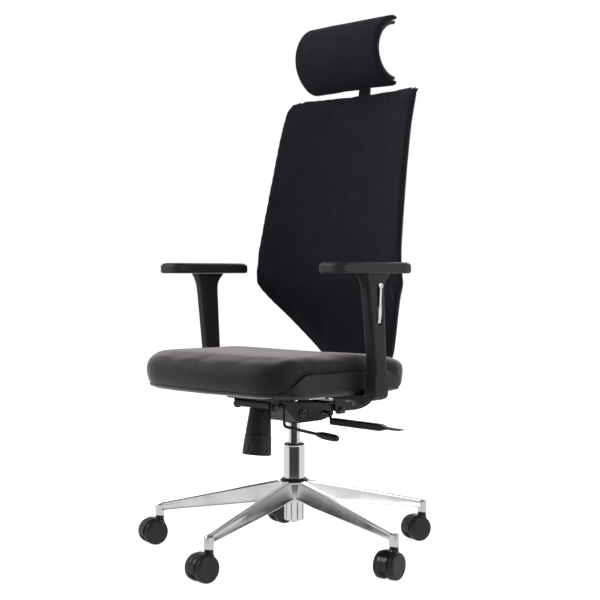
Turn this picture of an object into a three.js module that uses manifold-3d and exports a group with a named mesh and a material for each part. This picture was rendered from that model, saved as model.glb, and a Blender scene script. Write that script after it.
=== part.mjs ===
// Swivel office chair: five-star base on twin-wheel casters, gas lift, synchronous tilt mechanism,
// upholstered seat, height-adjustable arms, winged back and curved headrest.
// Millimetres. The sitter faces -Y, +X is the sitter's left, +Z is up.
import * as THREE from "three";
import { mergeVertices } from "three/addons/utils/BufferGeometryUtils.js";
import Module from "manifold-3d";

const wasm = await Module();
wasm.setup();

// ---------------------------------------------------------------- driving dimensions
const GAP = 0.3; // between pieces that touch

// The column stands off the middle of the whole chair's footprint.
const COLUMN_X = -20.3;
const COLUMN_Y = 26.3;

const LEGS = 5;
const FIRST_LEG_ANGLE = -77.6; // degrees, from +X
const STEM_CIRCLE = 338; // column axis to caster stem
const LEG_TOP_AT_HUB = 168;
const LEG_TOP_AT_TIP = 97;
const LEG_UNDER_AT_HUB = 122;
const LEG_UNDER_AT_TIP = 78;
const LEG_RIDGE_WIDTH = 9;
const LEG_FOOT_WIDTH = 22;
const LEG_WEDGE_HEIGHT = 46; // below the ridge, where the blade reaches its foot's width
const HUB_RADIUS = 30;
const HUB_UNDER = 118;
const HUB_TOP = 164;
const SOCKET_RADIUS = 11;
const SOCKET_UNDER = 66;

const WHEEL_RADIUS = 30;
const WHEEL_SIDES = 16;
const WHEEL_WIDTH = 19;
const WHEEL_INNER_FACE = 6.4;
const CASTER_TRAIL = 18;
const CASTER_NECK_TOP = 65.5;
const CASTER_STEM_RADIUS = 5.5;
// The way each caster's wheels trail from its stem, in degrees from +X.
const CASTER_HEADINGS = [-94, -83, -106, -100, -104];

const TUBE_RADIUS = 25;
const TUBE_TAPER_RADIUS = 23.5;
const TUBE_TOP = 252;
const TUBE_FOOT = 73;
const CYLINDER_RADIUS = 14;
const CYLINDER_TOP = 345;
const CYLINDER_FOOT = 165;
const ROD_RADIUS = 5;

const HOUSING_HALF_WIDTH = 56;
const HOUSING_WALL = 4;
const MAIN_PIVOT = [-30, 332]; // y, z: the back turns here
const FRONT_PIVOT = [-125, 352]; // y, z: the seat plate turns here
const LINK_PIVOT = [95, 330]; // y, z: where the back carries the rear of the seat plate
const PIN_RADIUS = 5;

const KNOB_TOP = [-110, 346]; // y, z
const KNOB_LEAN = 6.3; // degrees forward
const KNOB_HEIGHT = 108;
const HEIGHT_LEVER_Y = -104;
const HEIGHT_LEVER_Z = 356;
const HEIGHT_LEVER_REACH = 237;
const TILT_LEVER_Y = 44;
const TILT_LEVER_Z = 328;
const TILT_LEVER_REACH = 295;
const LEVER_HOLE = 5.5; // radius of the holes that the levers turn in

const PLATE_HALF_WIDTH = 80;
const PLATE_TOP = 385.7;

const SEAT_HALF_WIDTH = 240;
const SEAT_FRONT = -304;
const SEAT_REAR = 165;
const SEAT_CORNER = 84;
const SEAT_TOP = 470;
const SEAT_UNDER = 393;
const PAN_UNDER = 386;
const PAN_RIM = 440;
const PAN_WALL = 5;
const PAN_ROUND = 14; // rounding of the pan's foot

const ARM_X = 274; // centre of the upright
const ARM_Y = -25;
const ARM_THICKNESS = 28;
const SLEEVE_FOOT = 434.5;
const SLEEVE_TOP = 653.5;
const PAD_LENGTH = 244;
const PAD_WIDTH = 80;
const PAD_TOP = 679;
const PAD_CENTRE_X = 267;
const PAD_CENTRE_Y = -47;

const BACK_FOOT = 430;
const BACK_TOP = 1094;
const BACK_PADDING = 12;
const BACK_SHELL = 5;
const WING_CURL = 2.2; // how late towards the edge the wings turn forward

const HEADREST_CENTRE = [216, 1187]; // y, z: centre of the C
const HEADREST_RADIUS = 81;
const HEADREST_HALF_WIDTH = 136;
const HEADREST_PADDING = 10;
const HEADREST_SHELL = 7;
const HEADREST_PIVOT = [228, 1168]; // y, z

// ---------------------------------------------------------------- materials
function plain(color, roughness, metalness = 0) {
  return new THREE.MeshStandardMaterial({ color, roughness, metalness });
}
const FABRIC = 0x1d1c1f;
const SEAT_FABRIC = 0x29272a;
const BLACK_PLASTIC = 0x232426;
const GREY_PLASTIC = 0x35363a;
const SOFT_PAD = 0x2b2c2f;
const BLACK_STEEL = 0x1b1b1d;
const CHROME = 0xd8d9dc;
const ALUMINIUM = 0xcfd1d4;
const BRASS = 0xb08d4a;

// ---------------------------------------------------------------- solids
function solid(geometry) {
  const bare = geometry.clone();
  bare.deleteAttribute("normal");
  bare.deleteAttribute("uv");
  const merged = mergeVertices(bare, 1e-4);
  const vertProperties = merged.attributes.position.array;
  const triVerts = new Uint32Array(merged.index.array);
  return new wasm.Manifold(new wasm.Mesh({ numProp: 3, vertProperties, triVerts }));
}

function geometryOf(made) {
  const mesh = made.getMesh();
  const geometry = new THREE.BufferGeometry();
  geometry.setAttribute("position", new THREE.BufferAttribute(mesh.vertProperties, 3));
  geometry.setIndex(new THREE.BufferAttribute(mesh.triVerts, 1));
  geometry.computeVertexNormals();
  return geometry;
}

function join(...pieces) {
  return geometryOf(pieces.map(solid).reduce((all, piece) => all.add(piece)));
}

function cut(body, ...tools) {
  return geometryOf(tools.map(solid).reduce((left, tool) => left.subtract(tool), solid(body)));
}

function box([x0, x1], [y0, y1], [z0, z1]) {
  const made = new THREE.BoxGeometry(x1 - x0, y1 - y0, z1 - z0);
  return made.translate((x0 + x1) / 2, (y0 + y1) / 2, (z0 + z1) / 2);
}

// A round bar along Z.
function barZ(radius, z0, z1, x = 0, y = 0, sides = 20) {
  const made = new THREE.CylinderGeometry(radius, radius, z1 - z0, sides);
  return made.rotateX(Math.PI / 2).translate(x, y, (z0 + z1) / 2);
}

// A round bar along X, through the point y, z.
function barX(radius, x0, x1, [y, z], sides = 12) {
  const made = new THREE.CylinderGeometry(radius, radius, x1 - x0, sides);
  return made.rotateZ(Math.PI / 2).translate((x0 + x1) / 2, y, z);
}

// A profile of [radius, z] points turned about Z, listed from the foot up and closed on the axis.
function turned(profile, sides = 24) {
  const points = profile.map(([radius, z]) => new THREE.Vector2(radius, z));
  return new THREE.LatheGeometry(points, sides).rotateX(Math.PI / 2);
}

// An outline through the corners, each rounded by its own radius, or by less on a short edge.
function outline(corners) {
  const shape = new THREE.Shape();
  const at = (i) => new THREE.Vector2(...corners[(i + corners.length) % corners.length]);
  corners.forEach(([, , radius = 0], i) => {
    const corner = at(i);
    const before = at(i - 1).sub(corner);
    const after = at(i + 1).sub(corner);
    const reach = Math.min(radius, 0.48 * before.length(), 0.48 * after.length());
    const start = corner.clone().add(before.setLength(reach));
    const end = corner.clone().add(after.setLength(reach));
    if (i === 0) shape.moveTo(start.x, start.y);
    else shape.lineTo(start.x, start.y);
    if (reach > 0) shape.quadraticCurveTo(corner.x, corner.y, end.x, end.y);
  });
  shape.closePath();
  return shape;
}

// A flat outline given depth; bevel rounds both ends inside the outline.
function extruded(shape, depth, bevel = 0, curveSegments = 3) {
  return new THREE.ExtrudeGeometry(shape, {
    depth: depth - 2 * bevel,
    steps: 1,
    curveSegments,
    bevelEnabled: bevel > 0,
    bevelThickness: bevel,
    bevelSize: bevel,
    bevelOffset: -bevel,
    bevelSegments: 2,
  }).translate(0, 0, bevel);
}

// The outline lies in the x, y plane.
function upright(shape, z0, z1, bevel = 0, curveSegments = 3) {
  return extruded(shape, z1 - z0, bevel, curveSegments).translate(0, 0, z0);
}

// The outline's first number is y and its second is z.
function across(shape, x0, x1, bevel = 0, curveSegments = 3) {
  const made = extruded(shape, x1 - x0, bevel, curveSegments);
  return made.rotateX(Math.PI / 2).rotateZ(Math.PI / 2).translate(x0, 0, 0);
}

// The outline's first number is x and its second is z.
function along(shape, y0, y1, bevel = 0, curveSegments = 3) {
  return extruded(shape, y1 - y0, bevel, curveSegments).rotateX(Math.PI / 2).translate(0, y1, 0);
}

// A strip of even thickness that follows a smooth line through the points.
function band(points, thickness, steps = 14) {
  const line = new THREE.SplineCurve(points.map((point) => new THREE.Vector2(...point)));
  const left = [];
  const right = [];
  for (let i = 0; i <= steps; i++) {
    const middle = line.getPointAt(i / steps);
    const tangent = line.getTangentAt(i / steps);
    const aside = new THREE.Vector2(-tangent.y, tangent.x).multiplyScalar(thickness / 2);
    left.push(middle.clone().add(aside));
    right.unshift(middle.clone().sub(aside));
  }
  return new THREE.Shape([...right, ...left]);
}

// A round bar along a smooth line through the points.
function wire(points, radius, steps = 20, sides = 8) {
  const path = new THREE.CatmullRomCurve3(points.map((point) => new THREE.Vector3(...point)));
  path.curveType = "centripetal";
  const section = new THREE.Shape();
  section.absarc(0, 0, radius, 0, 2 * Math.PI);
  return new THREE.ExtrudeGeometry(section, {
    extrudePath: path,
    steps,
    curveSegments: sides / 2,
    bevelEnabled: false,
  });
}

// A closed sheet between two surfaces, each a function of u and v from 0 to 1.
function sheet(columns, rows, front, rear) {
  const positions = [];
  const triangles = [];
  for (const face of [front, rear])
    for (let row = 0; row <= rows; row++)
      for (let column = 0; column <= columns; column++)
        positions.push(...face(column / columns, row / rows));
  const side = (columns + 1) * (rows + 1);
  const at = (column, row, face) => face * side + row * (columns + 1) + column;
  const quad = (a, b, c, d) => triangles.push(a, b, c, a, c, d);
  for (let row = 0; row < rows; row++)
    for (let column = 0; column < columns; column++) {
      const right = column + 1;
      const up = row + 1;
      quad(at(column, row, 0), at(right, row, 0), at(right, up, 0), at(column, up, 0));
      quad(at(column, row, 1), at(column, up, 1), at(right, up, 1), at(right, row, 1));
    }
  for (let column = 0; column < columns; column++) {
    const right = column + 1;
    quad(at(column, 0, 1), at(right, 0, 1), at(right, 0, 0), at(column, 0, 0));
    quad(at(column, rows, 0), at(right, rows, 0), at(right, rows, 1), at(column, rows, 1));
  }
  for (let row = 0; row < rows; row++) {
    const up = row + 1;
    quad(at(0, row, 1), at(0, row, 0), at(0, up, 0), at(0, up, 1));
    quad(at(columns, row, 0), at(columns, row, 1), at(columns, up, 1), at(columns, up, 0));
  }
  const made = new THREE.BufferGeometry();
  made.setAttribute("position", new THREE.Float32BufferAttribute(positions, 3));
  return made.setIndex(triangles);
}

// ---------------------------------------------------------------- the chair
const chair = new THREE.Group();
chair.position.set(COLUMN_X, COLUMN_Y, 0);

function add(name, geometry, material, parent = chair) {
  const mesh = new THREE.Mesh(geometry, material);
  mesh.name = name;
  parent.add(mesh);
  return mesh;
}

const radians = THREE.MathUtils.degToRad;
const mirrored = (geometry) => geometryOf(solid(geometry).mirror([1, 0, 0]));

// ---------------------------------------------------------------- base and casters
// One leg along +X: a tall tapering blade, wider at its foot than at its ridge, ending in a socket.
function leg() {
  const noseX = STEM_CIRCLE + 6;
  const side = outline([
    [0, LEG_UNDER_AT_HUB],
    [STEM_CIRCLE, LEG_UNDER_AT_TIP],
    [noseX, LEG_TOP_AT_TIP, 4],
    [STEM_CIRCLE - 6, LEG_TOP_AT_TIP + 2, 4],
    [0, LEG_TOP_AT_HUB + 6],
  ]);
  const blade = along(side, -LEG_FOOT_WIDTH / 2, LEG_FOOT_WIDTH / 2);
  const section = (x, height) => [
    [x, -LEG_RIDGE_WIDTH / 2, height],
    [x, LEG_RIDGE_WIDTH / 2, height],
    [x, LEG_FOOT_WIDTH / 2, height - LEG_WEDGE_HEIGHT],
    [x, -LEG_FOOT_WIDTH / 2, height - LEG_WEDGE_HEIGHT],
  ];
  const corners = [
    ...section(-5, LEG_TOP_AT_HUB + 8),
    ...section(noseX + 16, LEG_TOP_AT_TIP - 2),
  ];
  const faces = [
    [0, 1, 2, 3],
    [4, 7, 6, 5],
    [0, 4, 5, 1],
    [1, 5, 6, 2],
    [2, 6, 7, 3],
    [3, 7, 4, 0],
  ];
  const wedge = new THREE.BufferGeometry();
  wedge.setAttribute("position", new THREE.Float32BufferAttribute(corners.flat(), 3));
  wedge.setIndex(faces.flatMap(([a, b, c, d]) => [a, b, c, a, c, d]));
  const trimmed = geometryOf(solid(blade).intersect(solid(wedge)));
  const socket = barZ(SOCKET_RADIUS, SOCKET_UNDER, LEG_TOP_AT_TIP - 2, STEM_CIRCLE, 0, 12);
  return join(trimmed, socket);
}

function starBase() {
  const legs = [];
  const bores = [];
  for (let i = 0; i < LEGS; i++) {
    const angle = radians(FIRST_LEG_ANGLE + (360 / LEGS) * i);
    legs.push(leg().rotateZ(angle));
    const [x, y] = [STEM_CIRCLE * Math.cos(angle), STEM_CIRCLE * Math.sin(angle)];
    bores.push(barZ(CASTER_STEM_RADIUS + GAP, SOCKET_UNDER - 1, SOCKET_UNDER + 23, x, y, 10));
  }
  const hub = barZ(HUB_RADIUS, HUB_UNDER, HUB_TOP, 0, 0, 24);
  const above = barZ(60, HUB_TOP, HUB_TOP + 20, 0, 0, 16);
  const bore = barZ(TUBE_TAPER_RADIUS + GAP, HUB_UNDER - 1, HUB_TOP + 20, 0, 0, 24);
  return cut(join(hub, ...legs), above, bore, ...bores);
}
add("star_base", starBase(), plain(ALUMINIUM, 0.18, 1));

const ringFoot = HUB_TOP + GAP;
add(
  "hub_ring",
  turned([
    [TUBE_RADIUS + GAP, ringFoot],
    [HUB_RADIUS + 3, ringFoot],
    [HUB_RADIUS + 3, ringFoot + 3],
    [HUB_RADIUS - 2, ringFoot + 8],
    [TUBE_RADIUS + GAP, ringFoot + 8],
    [TUBE_RADIUS + GAP, ringFoot],
  ]),
  plain(BLACK_PLASTIC, 0.5),
);

// The outer tube narrows where the hub grips it, and is open at the top and at the foot's bore.
const tubeBore = TUBE_TAPER_RADIUS - 3;
const stepZ = HUB_TOP + 1;
add(
  "outer_column_tube",
  turned([
    [ROD_RADIUS + 1, TUBE_FOOT],
    [TUBE_TAPER_RADIUS - 1, TUBE_FOOT],
    [TUBE_TAPER_RADIUS, TUBE_FOOT + 2],
    [TUBE_TAPER_RADIUS, stepZ],
    [TUBE_RADIUS, stepZ + 1],
    [TUBE_RADIUS, TUBE_TOP - 4],
    [TUBE_RADIUS + 1.5, TUBE_TOP - 3],
    [TUBE_RADIUS + 1.5, TUBE_TOP - 1],
    [TUBE_RADIUS, TUBE_TOP],
    [tubeBore, TUBE_TOP],
    [tubeBore, TUBE_FOOT + 4],
    [ROD_RADIUS + 1, TUBE_FOOT + 4],
    [ROD_RADIUS + 1, TUBE_FOOT],
  ]),
  plain(CHROME, 0.08, 1),
);
add(
  "guide_bush",
  turned([
    [CYLINDER_RADIUS + GAP, TUBE_TOP - 75],
    [tubeBore - GAP, TUBE_TOP - 75],
    [tubeBore - GAP, TUBE_TOP + GAP],
    [TUBE_RADIUS - 2, TUBE_TOP + GAP],
    [TUBE_RADIUS - 3, TUBE_TOP + 2],
    [CYLINDER_RADIUS + GAP, TUBE_TOP + 2],
    [CYLINDER_RADIUS + GAP, TUBE_TOP - 75],
  ]),
  plain(BLACK_PLASTIC, 0.5),
);
const bearingFoot = TUBE_FOOT + 4 + GAP;
const bearingTop = bearingFoot + 8;
add(
  "thrust_bearing",
  turned([
    [ROD_RADIUS + GAP, bearingFoot],
    [13, bearingFoot],
    [13, bearingTop],
    [ROD_RADIUS + GAP, bearingTop],
    [ROD_RADIUS + GAP, bearingFoot],
  ]),
  plain(BLACK_STEEL, 0.3, 1),
);
// The rod stands on the bearing by its shoulder and is held by a collar under the tube's foot.
add(
  "piston_rod",
  turned([
    [0, TUBE_FOOT - 5],
    [8, TUBE_FOOT - 5],
    [8, TUBE_FOOT - GAP],
    [ROD_RADIUS, TUBE_FOOT - GAP],
    [ROD_RADIUS, bearingTop + GAP],
    [10, bearingTop + GAP],
    [10, bearingTop + 4],
    [ROD_RADIUS, bearingTop + 4],
    [ROD_RADIUS, CYLINDER_FOOT + 100],
    [0, CYLINDER_FOOT + 100],
  ], 16),
  plain(CHROME, 0.15, 1),
);

// One caster in its own frame: the stem stands on the origin and the wheels trail along +X.
const axleHeight = WHEEL_RADIUS * Math.cos(Math.PI / WHEEL_SIDES);
const axleLine = [0, 0];

function casterHousing() {
  const half = WHEEL_INNER_FACE - 0.9;
  const web = new THREE.Shape();
  web.absarc(0, 0, WHEEL_RADIUS - 1, -0.12 * Math.PI, 1.12 * Math.PI);
  web.closePath();
  const cheek = extruded(web, 2 * half, 0, 6).rotateX(Math.PI / 2);
  cheek.translate(CASTER_TRAIL, half, axleHeight);
  const neck = barZ(10.5, 36, CASTER_NECK_TOP, 0, 0, 12);
  const hole = barZ(CASTER_STEM_RADIUS + 2 * GAP, 40, CASTER_NECK_TOP + 1, 0, 0, 10);
  const axleHole = barX(3.4, -20, 20, axleLine, 8).rotateZ(Math.PI / 2);
  axleHole.translate(CASTER_TRAIL, 0, axleHeight);
  const wheelRoom = [-1, 1].map((side) => {
    const [near, far] = [half, WHEEL_INNER_FACE + 20].map((y) => side * y);
    const disc = barX(WHEEL_RADIUS + 2.2, Math.min(near, far), Math.max(near, far), axleLine, 16);
    return disc.rotateZ(Math.PI / 2).translate(CASTER_TRAIL, 0, axleHeight);
  });
  return cut(join(cheek, neck), hole, axleHole, ...wheelRoom);
}

function wheel() {
  const outer = WHEEL_INNER_FACE + WHEEL_WIDTH;
  return turned([
    [3.4, WHEEL_INNER_FACE],
    [WHEEL_RADIUS - 2, WHEEL_INNER_FACE],
    [WHEEL_RADIUS, WHEEL_INNER_FACE + 2],
    [WHEEL_RADIUS, outer - 5],
    [WHEEL_RADIUS - 3, outer - 1],
    [WHEEL_RADIUS - 7, outer],
    [0, outer - 2],
    [0, outer - 5],
    [3.4, outer - 5],
    [3.4, WHEEL_INNER_FACE],
  ], WHEEL_SIDES);
}

for (let i = 0; i < LEGS; i++) {
  const angle = radians(FIRST_LEG_ANGLE + (360 / LEGS) * i);
  const caster = new THREE.Group();
  caster.position.set(STEM_CIRCLE * Math.cos(angle), STEM_CIRCLE * Math.sin(angle), 0);
  caster.rotation.z = radians(CASTER_HEADINGS[i]);
  chair.add(caster);
  const number = i + 1;
  add(
    "caster_stem_" + number,
    turned([
      [0, 41],
      [CASTER_STEM_RADIUS, 41],
      [CASTER_STEM_RADIUS, SOCKET_UNDER + 20],
      [CASTER_STEM_RADIUS - 1.5, SOCKET_UNDER + 22],
      [0, SOCKET_UNDER + 22],
    ], 10),
    plain(CHROME, 0.3, 1),
    caster,
  );
  add("caster_housing_" + number, casterHousing(), plain(BLACK_PLASTIC, 0.45), caster);
  const reach = WHEEL_INNER_FACE + WHEEL_WIDTH - 5.5;
  const axle = barX(3, -reach, reach, axleLine, 8).rotateZ(Math.PI / 2);
  axle.translate(CASTER_TRAIL, 0, axleHeight);
  add("caster_axle_" + number, axle, plain(BLACK_STEEL, 0.3, 1), caster);
  for (const [side, turn] of [["left", -1], ["right", 1]]) {
    const half = wheel().rotateZ(Math.PI / WHEEL_SIDES).rotateX((turn * Math.PI) / 2);
    half.translate(CASTER_TRAIL, 0, axleHeight);
    add("caster_wheel_" + side + "_" + number, half, plain(BLACK_PLASTIC, 0.4), caster);
  }
}

// ---------------------------------------------------------------- gas cylinder
const pinStem = 4;
const cylinderOuter = turned([
  [0, CYLINDER_FOOT],
  [CYLINDER_RADIUS, CYLINDER_FOOT],
  [CYLINDER_RADIUS, CYLINDER_TOP - 40],
  [CYLINDER_RADIUS - 0.6, CYLINDER_TOP],
  [0, CYLINDER_TOP],
]);
const rodRoom = barZ(ROD_RADIUS + GAP, CYLINDER_FOOT - 1, CYLINDER_FOOT + 170, 0, 0, 16);
const pinRoom = barZ(pinStem + GAP, CYLINDER_TOP - 6, CYLINDER_TOP + 1, 0, 0, 16);
add("gas_cylinder", cut(cylinderOuter, rodRoom, pinRoom), plain(CHROME, 0.08, 1));
add(
  "release_button",
  turned([
    [0, CYLINDER_TOP - 1.5],
    [pinStem, CYLINDER_TOP - 1.5],
    [pinStem, CYLINDER_TOP + 5],
    [pinStem - 1, CYLINDER_TOP + 6.5],
    [0, CYLINDER_TOP + 6.5],
  ], 16),
  plain(BRASS, 0.35, 1),
);

// ---------------------------------------------------------------- tilt mechanism
// A pressed channel, open above and behind, with a boss that holds the gas cylinder.
function mechanismHousing() {
  const wall = HOUSING_WALL;
  const wide = HOUSING_HALF_WIDTH;
  const side = outline([
    [-137, 347, 6],
    [-86, 347, 6],
    [-44, 309, 8],
    [34, 309, 8],
    [75, 318, 4],
    [75, 341, 4],
    [40, 349, 6],
    [-137, 364, 6],
  ]);
  const room = outline([
    [-133, 351],
    [-84, 351],
    [-42, 313],
    [36, 313],
    [90, 322],
    [90, 380],
    [-133, 380],
  ]);
  const shell = cut(across(side, -wide, wide), across(room, -wide + wall, wide - wall));
  const boss = barZ(20, 303, 343, 0, 0, 16);
  // Room for the arms of the back bracket to swing down beside the boss.
  const slots = [-1, 1].map((end) =>
    box([end * 46.5 - 5.5, end * 46.5 + 5.5], [-46, 90], [290, 325]),
  );
  const cylinderRoom = barZ(CYLINDER_RADIUS + 2 * GAP, 300, 350, 0, 0, 16);
  const mainHole = barX(PIN_RADIUS + 1, -70, 70, MAIN_PIVOT);
  const frontHole = barX(PIN_RADIUS + GAP, -70, 70, FRONT_PIVOT);
  const heightHole = barX(LEVER_HOLE, 40, 70, [HEIGHT_LEVER_Y, HEIGHT_LEVER_Z], 12);
  const tiltHole = barX(LEVER_HOLE, 40, 70, [TILT_LEVER_Y, TILT_LEVER_Z], 12);
  const screwHole = barZ(6.2, 340, 356, 0, KNOB_TOP[0], 14);
  const holes = [mainHole, frontHole, heightHole, tiltHole, screwHole];
  return cut(join(shell, boss), ...slots, cylinderRoom, ...holes);
}
add("mechanism_housing", mechanismHousing(), plain(BLACK_STEEL, 0.45, 0.6));
add("main_pivot_shaft", barX(PIN_RADIUS + 0.7, -58, 58, MAIN_PIVOT), plain(CHROME, 0.35, 1));
add("front_pivot_pin", barX(PIN_RADIUS, -67, 67, FRONT_PIVOT), plain(CHROME, 0.35, 1));

// The knob hangs from the housing on its screw, leaning forward, with the tension spring inside it.
const knobFrame = new THREE.Group();
knobFrame.position.set(0, ...KNOB_TOP);
knobFrame.rotation.x = radians(-KNOB_LEAN);
chair.add(knobFrame);
add(
  "tension_knob",
  turned([
    [6, -KNOB_HEIGHT],
    [31, -KNOB_HEIGHT],
    [33.5, -KNOB_HEIGHT + 3],
    [29.5, -50],
    [25, -4],
    [24, -2],
    [19, -2],
    [19, -KNOB_HEIGHT + 14],
    [6, -KNOB_HEIGHT + 14],
    [6, -KNOB_HEIGHT],
  ], 28),
  plain(BLACK_PLASTIC, 0.5),
  knobFrame,
);
add(
  "tension_screw",
  turned([
    [0, -KNOB_HEIGHT + 1],
    [4.5, -KNOB_HEIGHT + 1],
    [4.5, 7.2],
    [8, 7.2],
    [8, 10],
    [0, 10],
  ], 14),
  plain(CHROME, 0.35, 1),
  knobFrame,
);
const coil = [];
const coilTurns = 5;
const coilFoot = -KNOB_HEIGHT + 18;
const coilTop = -6;
for (let i = 0; i <= coilTurns * 10; i++) {
  const angle = (i / 10) * 2 * Math.PI;
  const height = coilFoot + ((coilTop - coilFoot) * i) / (coilTurns * 10);
  coil.push([14 * Math.cos(angle), 14 * Math.sin(angle), height]);
}
add("tension_spring", wire(coil, 2, coilTurns * 10, 6), plain(BLACK_STEEL, 0.4, 0.8), knobFrame);

// The height lever turns in the housing's side wall; its inner end stands over the release button.
const wallX = HOUSING_HALF_WIDTH - 2;
const innerLine = [
  [0, 0, HEIGHT_LEVER_Z - 1],
  [12, -30, HEIGHT_LEVER_Z - 1],
  [32, -86, HEIGHT_LEVER_Z + 1],
  [43, HEIGHT_LEVER_Y + 1.5, HEIGHT_LEVER_Z],
  [wallX, HEIGHT_LEVER_Y, HEIGHT_LEVER_Z],
];
const outerLine = [
  [wallX - 2, HEIGHT_LEVER_Y, HEIGHT_LEVER_Z],
  [68, HEIGHT_LEVER_Y, HEIGHT_LEVER_Z],
  [72, HEIGHT_LEVER_Y, HEIGHT_LEVER_Z - 4],
  [72, HEIGHT_LEVER_Y, 314],
  [78, HEIGHT_LEVER_Y, 308],
  [182, HEIGHT_LEVER_Y, 300],
];
const heightRod = join(wire(innerLine, 3, 11, 6), wire(outerLine, 3.5, 24, 6));
add("height_lever_rod", heightRod, plain(BLACK_STEEL, 0.4, 0.6));
const grip = outline([
  [175, 304.5, 2],
  [190, 307.5, 6],
  [HEIGHT_LEVER_REACH - 2, 303.5, 5],
  [HEIGHT_LEVER_REACH, 289, 5],
  [190, 291.5, 6],
  [175, 295.5, 2],
]);
const gripHole = barX(3.5 + GAP, 0, 12, [HEIGHT_LEVER_Y, 0], 10).rotateY(radians(4.4));
gripHole.translate(173, 0, 300.7);
add(
  "height_lever_grip",
  cut(along(grip, HEIGHT_LEVER_Y - 9, HEIGHT_LEVER_Y + 9), gripHole),
  plain(BLACK_PLASTIC, 0.5),
);

const tiltLine = [
  [50.5, TILT_LEVER_Y, TILT_LEVER_Z],
  [69, TILT_LEVER_Y, TILT_LEVER_Z],
  [74, TILT_LEVER_Y, 324],
  [78, TILT_LEVER_Y, 314],
  [86, TILT_LEVER_Y, 311],
];
const tiltRod = wire(tiltLine, 3.5, 16, 6);
const blade = outline([
  [80, 316, 3],
  [231, 314.8, 5],
  [250, 309.2, 4],
  [TILT_LEVER_REACH, 308, 1],
  [TILT_LEVER_REACH, 304.5, 1],
  [250, 304.4, 4],
  [231, 299, 6],
  [80, 300, 3],
]);
add(
  "tilt_lever",
  join(tiltRod, along(blade, TILT_LEVER_Y - 9, TILT_LEVER_Y + 9)),
  plain(BLACK_PLASTIC, 0.5),
);

// ---------------------------------------------------------------- back bracket and back bar
function backBracket() {
  const [mainY, mainZ] = MAIN_PIVOT;
  const armSide = outline([
    [mainY - 13, mainZ - 12, 8],
    [mainY + 20, mainZ - 10, 4],
    [150, 333, 2],
    [150, 345, 2],
    [60, 345, 8],
    [mainY + 12, mainZ + 13, 8],
    [mainY - 13, mainZ + 12, 8],
  ]);
  const arms = [-46.5, 46.5].map((x) => across(armSide, x - 2.5, x + 2.5));
  const rearPlate = box([-49, 49], [116, 150], [333, 345]);
  const pivotHole = barX(PIN_RADIUS + 1, -70, 70, MAIN_PIVOT);
  const link = barX(4, -67, 67, LINK_PIVOT);
  return join(cut(join(...arms, rearPlate), pivotHole), link);
}
add("back_bracket", backBracket(), plain(BLACK_STEEL, 0.45, 0.6));

const barLine = [
  [118, 326.7],
  [195, 327],
  [240, 345],
  [262, 390],
  [262, 440],
  [245, 500],
  [221, 570],
  [206, 640],
];
add("back_bar", across(band(barLine, 11, 22), -35, 35), plain(BLACK_PLASTIC, 0.45));

// ---------------------------------------------------------------- seat
const seatCorners = (inset) => {
  const half = SEAT_HALF_WIDTH - inset;
  const [front, rear] = [SEAT_FRONT + inset, SEAT_REAR - inset];
  return outline([
    [-half, front + 12, SEAT_CORNER],
    [0, front - 4, 150],
    [half, front + 12, SEAT_CORNER],
    [half, rear, SEAT_CORNER],
    [-half, rear, SEAT_CORNER],
  ]);
};

// The moulded pan: a floor, and side walls that sweep down to nothing towards the front
// and end in a quarter round before the rear, where the cushion's cover comes down over the end.
function seatPan(clearance) {
  const rim = PAN_RIM + clearance;
  const outer = upright(seatCorners(-3 * clearance), PAN_UNDER, rim + PAN_ROUND, PAN_ROUND);
  const inset = PAN_WALL + clearance;
  const inner = upright(seatCorners(inset), PAN_UNDER + inset, rim + 2 * PAN_ROUND, PAN_ROUND);
  const above = box([-300, 300], [-400, 300], [rim, rim + 40]);
  const front = outline([
    [-400, 380],
    [-272 - clearance, 380],
    [-268 - clearance, 402 + clearance, 10],
    [-222, 408 + clearance, 16],
    [-205, rim - 2, 18],
    [-150, rim + 0.5],
    [-150, 460],
    [-400, 460],
  ]);
  const rear = outline([
    [400, 380],
    [152 + clearance, 380],
    [148 + clearance, 392 + clearance, 6],
    [104 + clearance, 393 + clearance, 8],
    [94 + clearance, 400, 14],
    [80 + clearance, rim - 3, 20],
    [48, rim + 0.5],
    [48, 460],
    [400, 460],
  ]);
  return cut(outer, inner, above, across(front, -300, 300), across(rear, -300, 300));
}
add("underpan", seatPan(0), plain(GREY_PLASTIC, 0.5));

const cushion = upright(seatCorners(0), SEAT_UNDER, SEAT_TOP, 18);
// The seat falls away a little behind the sitter's thighs.
const rearFall = outline([
  [12, SEAT_TOP],
  [170, SEAT_TOP - 13],
  [300, SEAT_TOP - 14],
  [300, 500],
  [12, 500],
]);
add(
  "seat_cushion",
  cut(cushion, seatPan(0.6), across(rearFall, -300, 300)),
  plain(SEAT_FABRIC, 0.75),
);

function seatPlate() {
  const ear = outline([
    [-134, PLATE_TOP - 1],
    [-134, 344, 6],
    [-116, 342, 6],
    [-110, 366, 4],
    [68, 366, 6],
    [80, 320, 5],
    [110, 320, 5],
    [112, PLATE_TOP - 1],
  ]);
  const inside = HOUSING_HALF_WIDTH + 3;
  const top = box([-PLATE_HALF_WIDTH, PLATE_HALF_WIDTH], [-140, 115], [PLATE_TOP - 4, PLATE_TOP]);
  const ears = [-inside - 2, inside + 2].map((x) => across(ear, x - 2, x + 2));
  const lips = [-PLATE_HALF_WIDTH, PLATE_HALF_WIDTH - 3].map((x) =>
    box([x, x + 3], [-140, 115], [366, PLATE_TOP - 1]),
  );
  const frontLip = box([-PLATE_HALF_WIDTH, PLATE_HALF_WIDTH], [-140, -137], [366, PLATE_TOP - 1]);
  const frontHole = barX(PIN_RADIUS + GAP, -90, 90, FRONT_PIVOT);
  const linkHole = barX(6.5, -90, 90, LINK_PIVOT);
  return cut(join(top, ...ears, ...lips, frontLip), frontHole, linkHole);
}
add("seat_plate", seatPlate(), plain(BLACK_STEEL, 0.45, 0.6));

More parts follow.
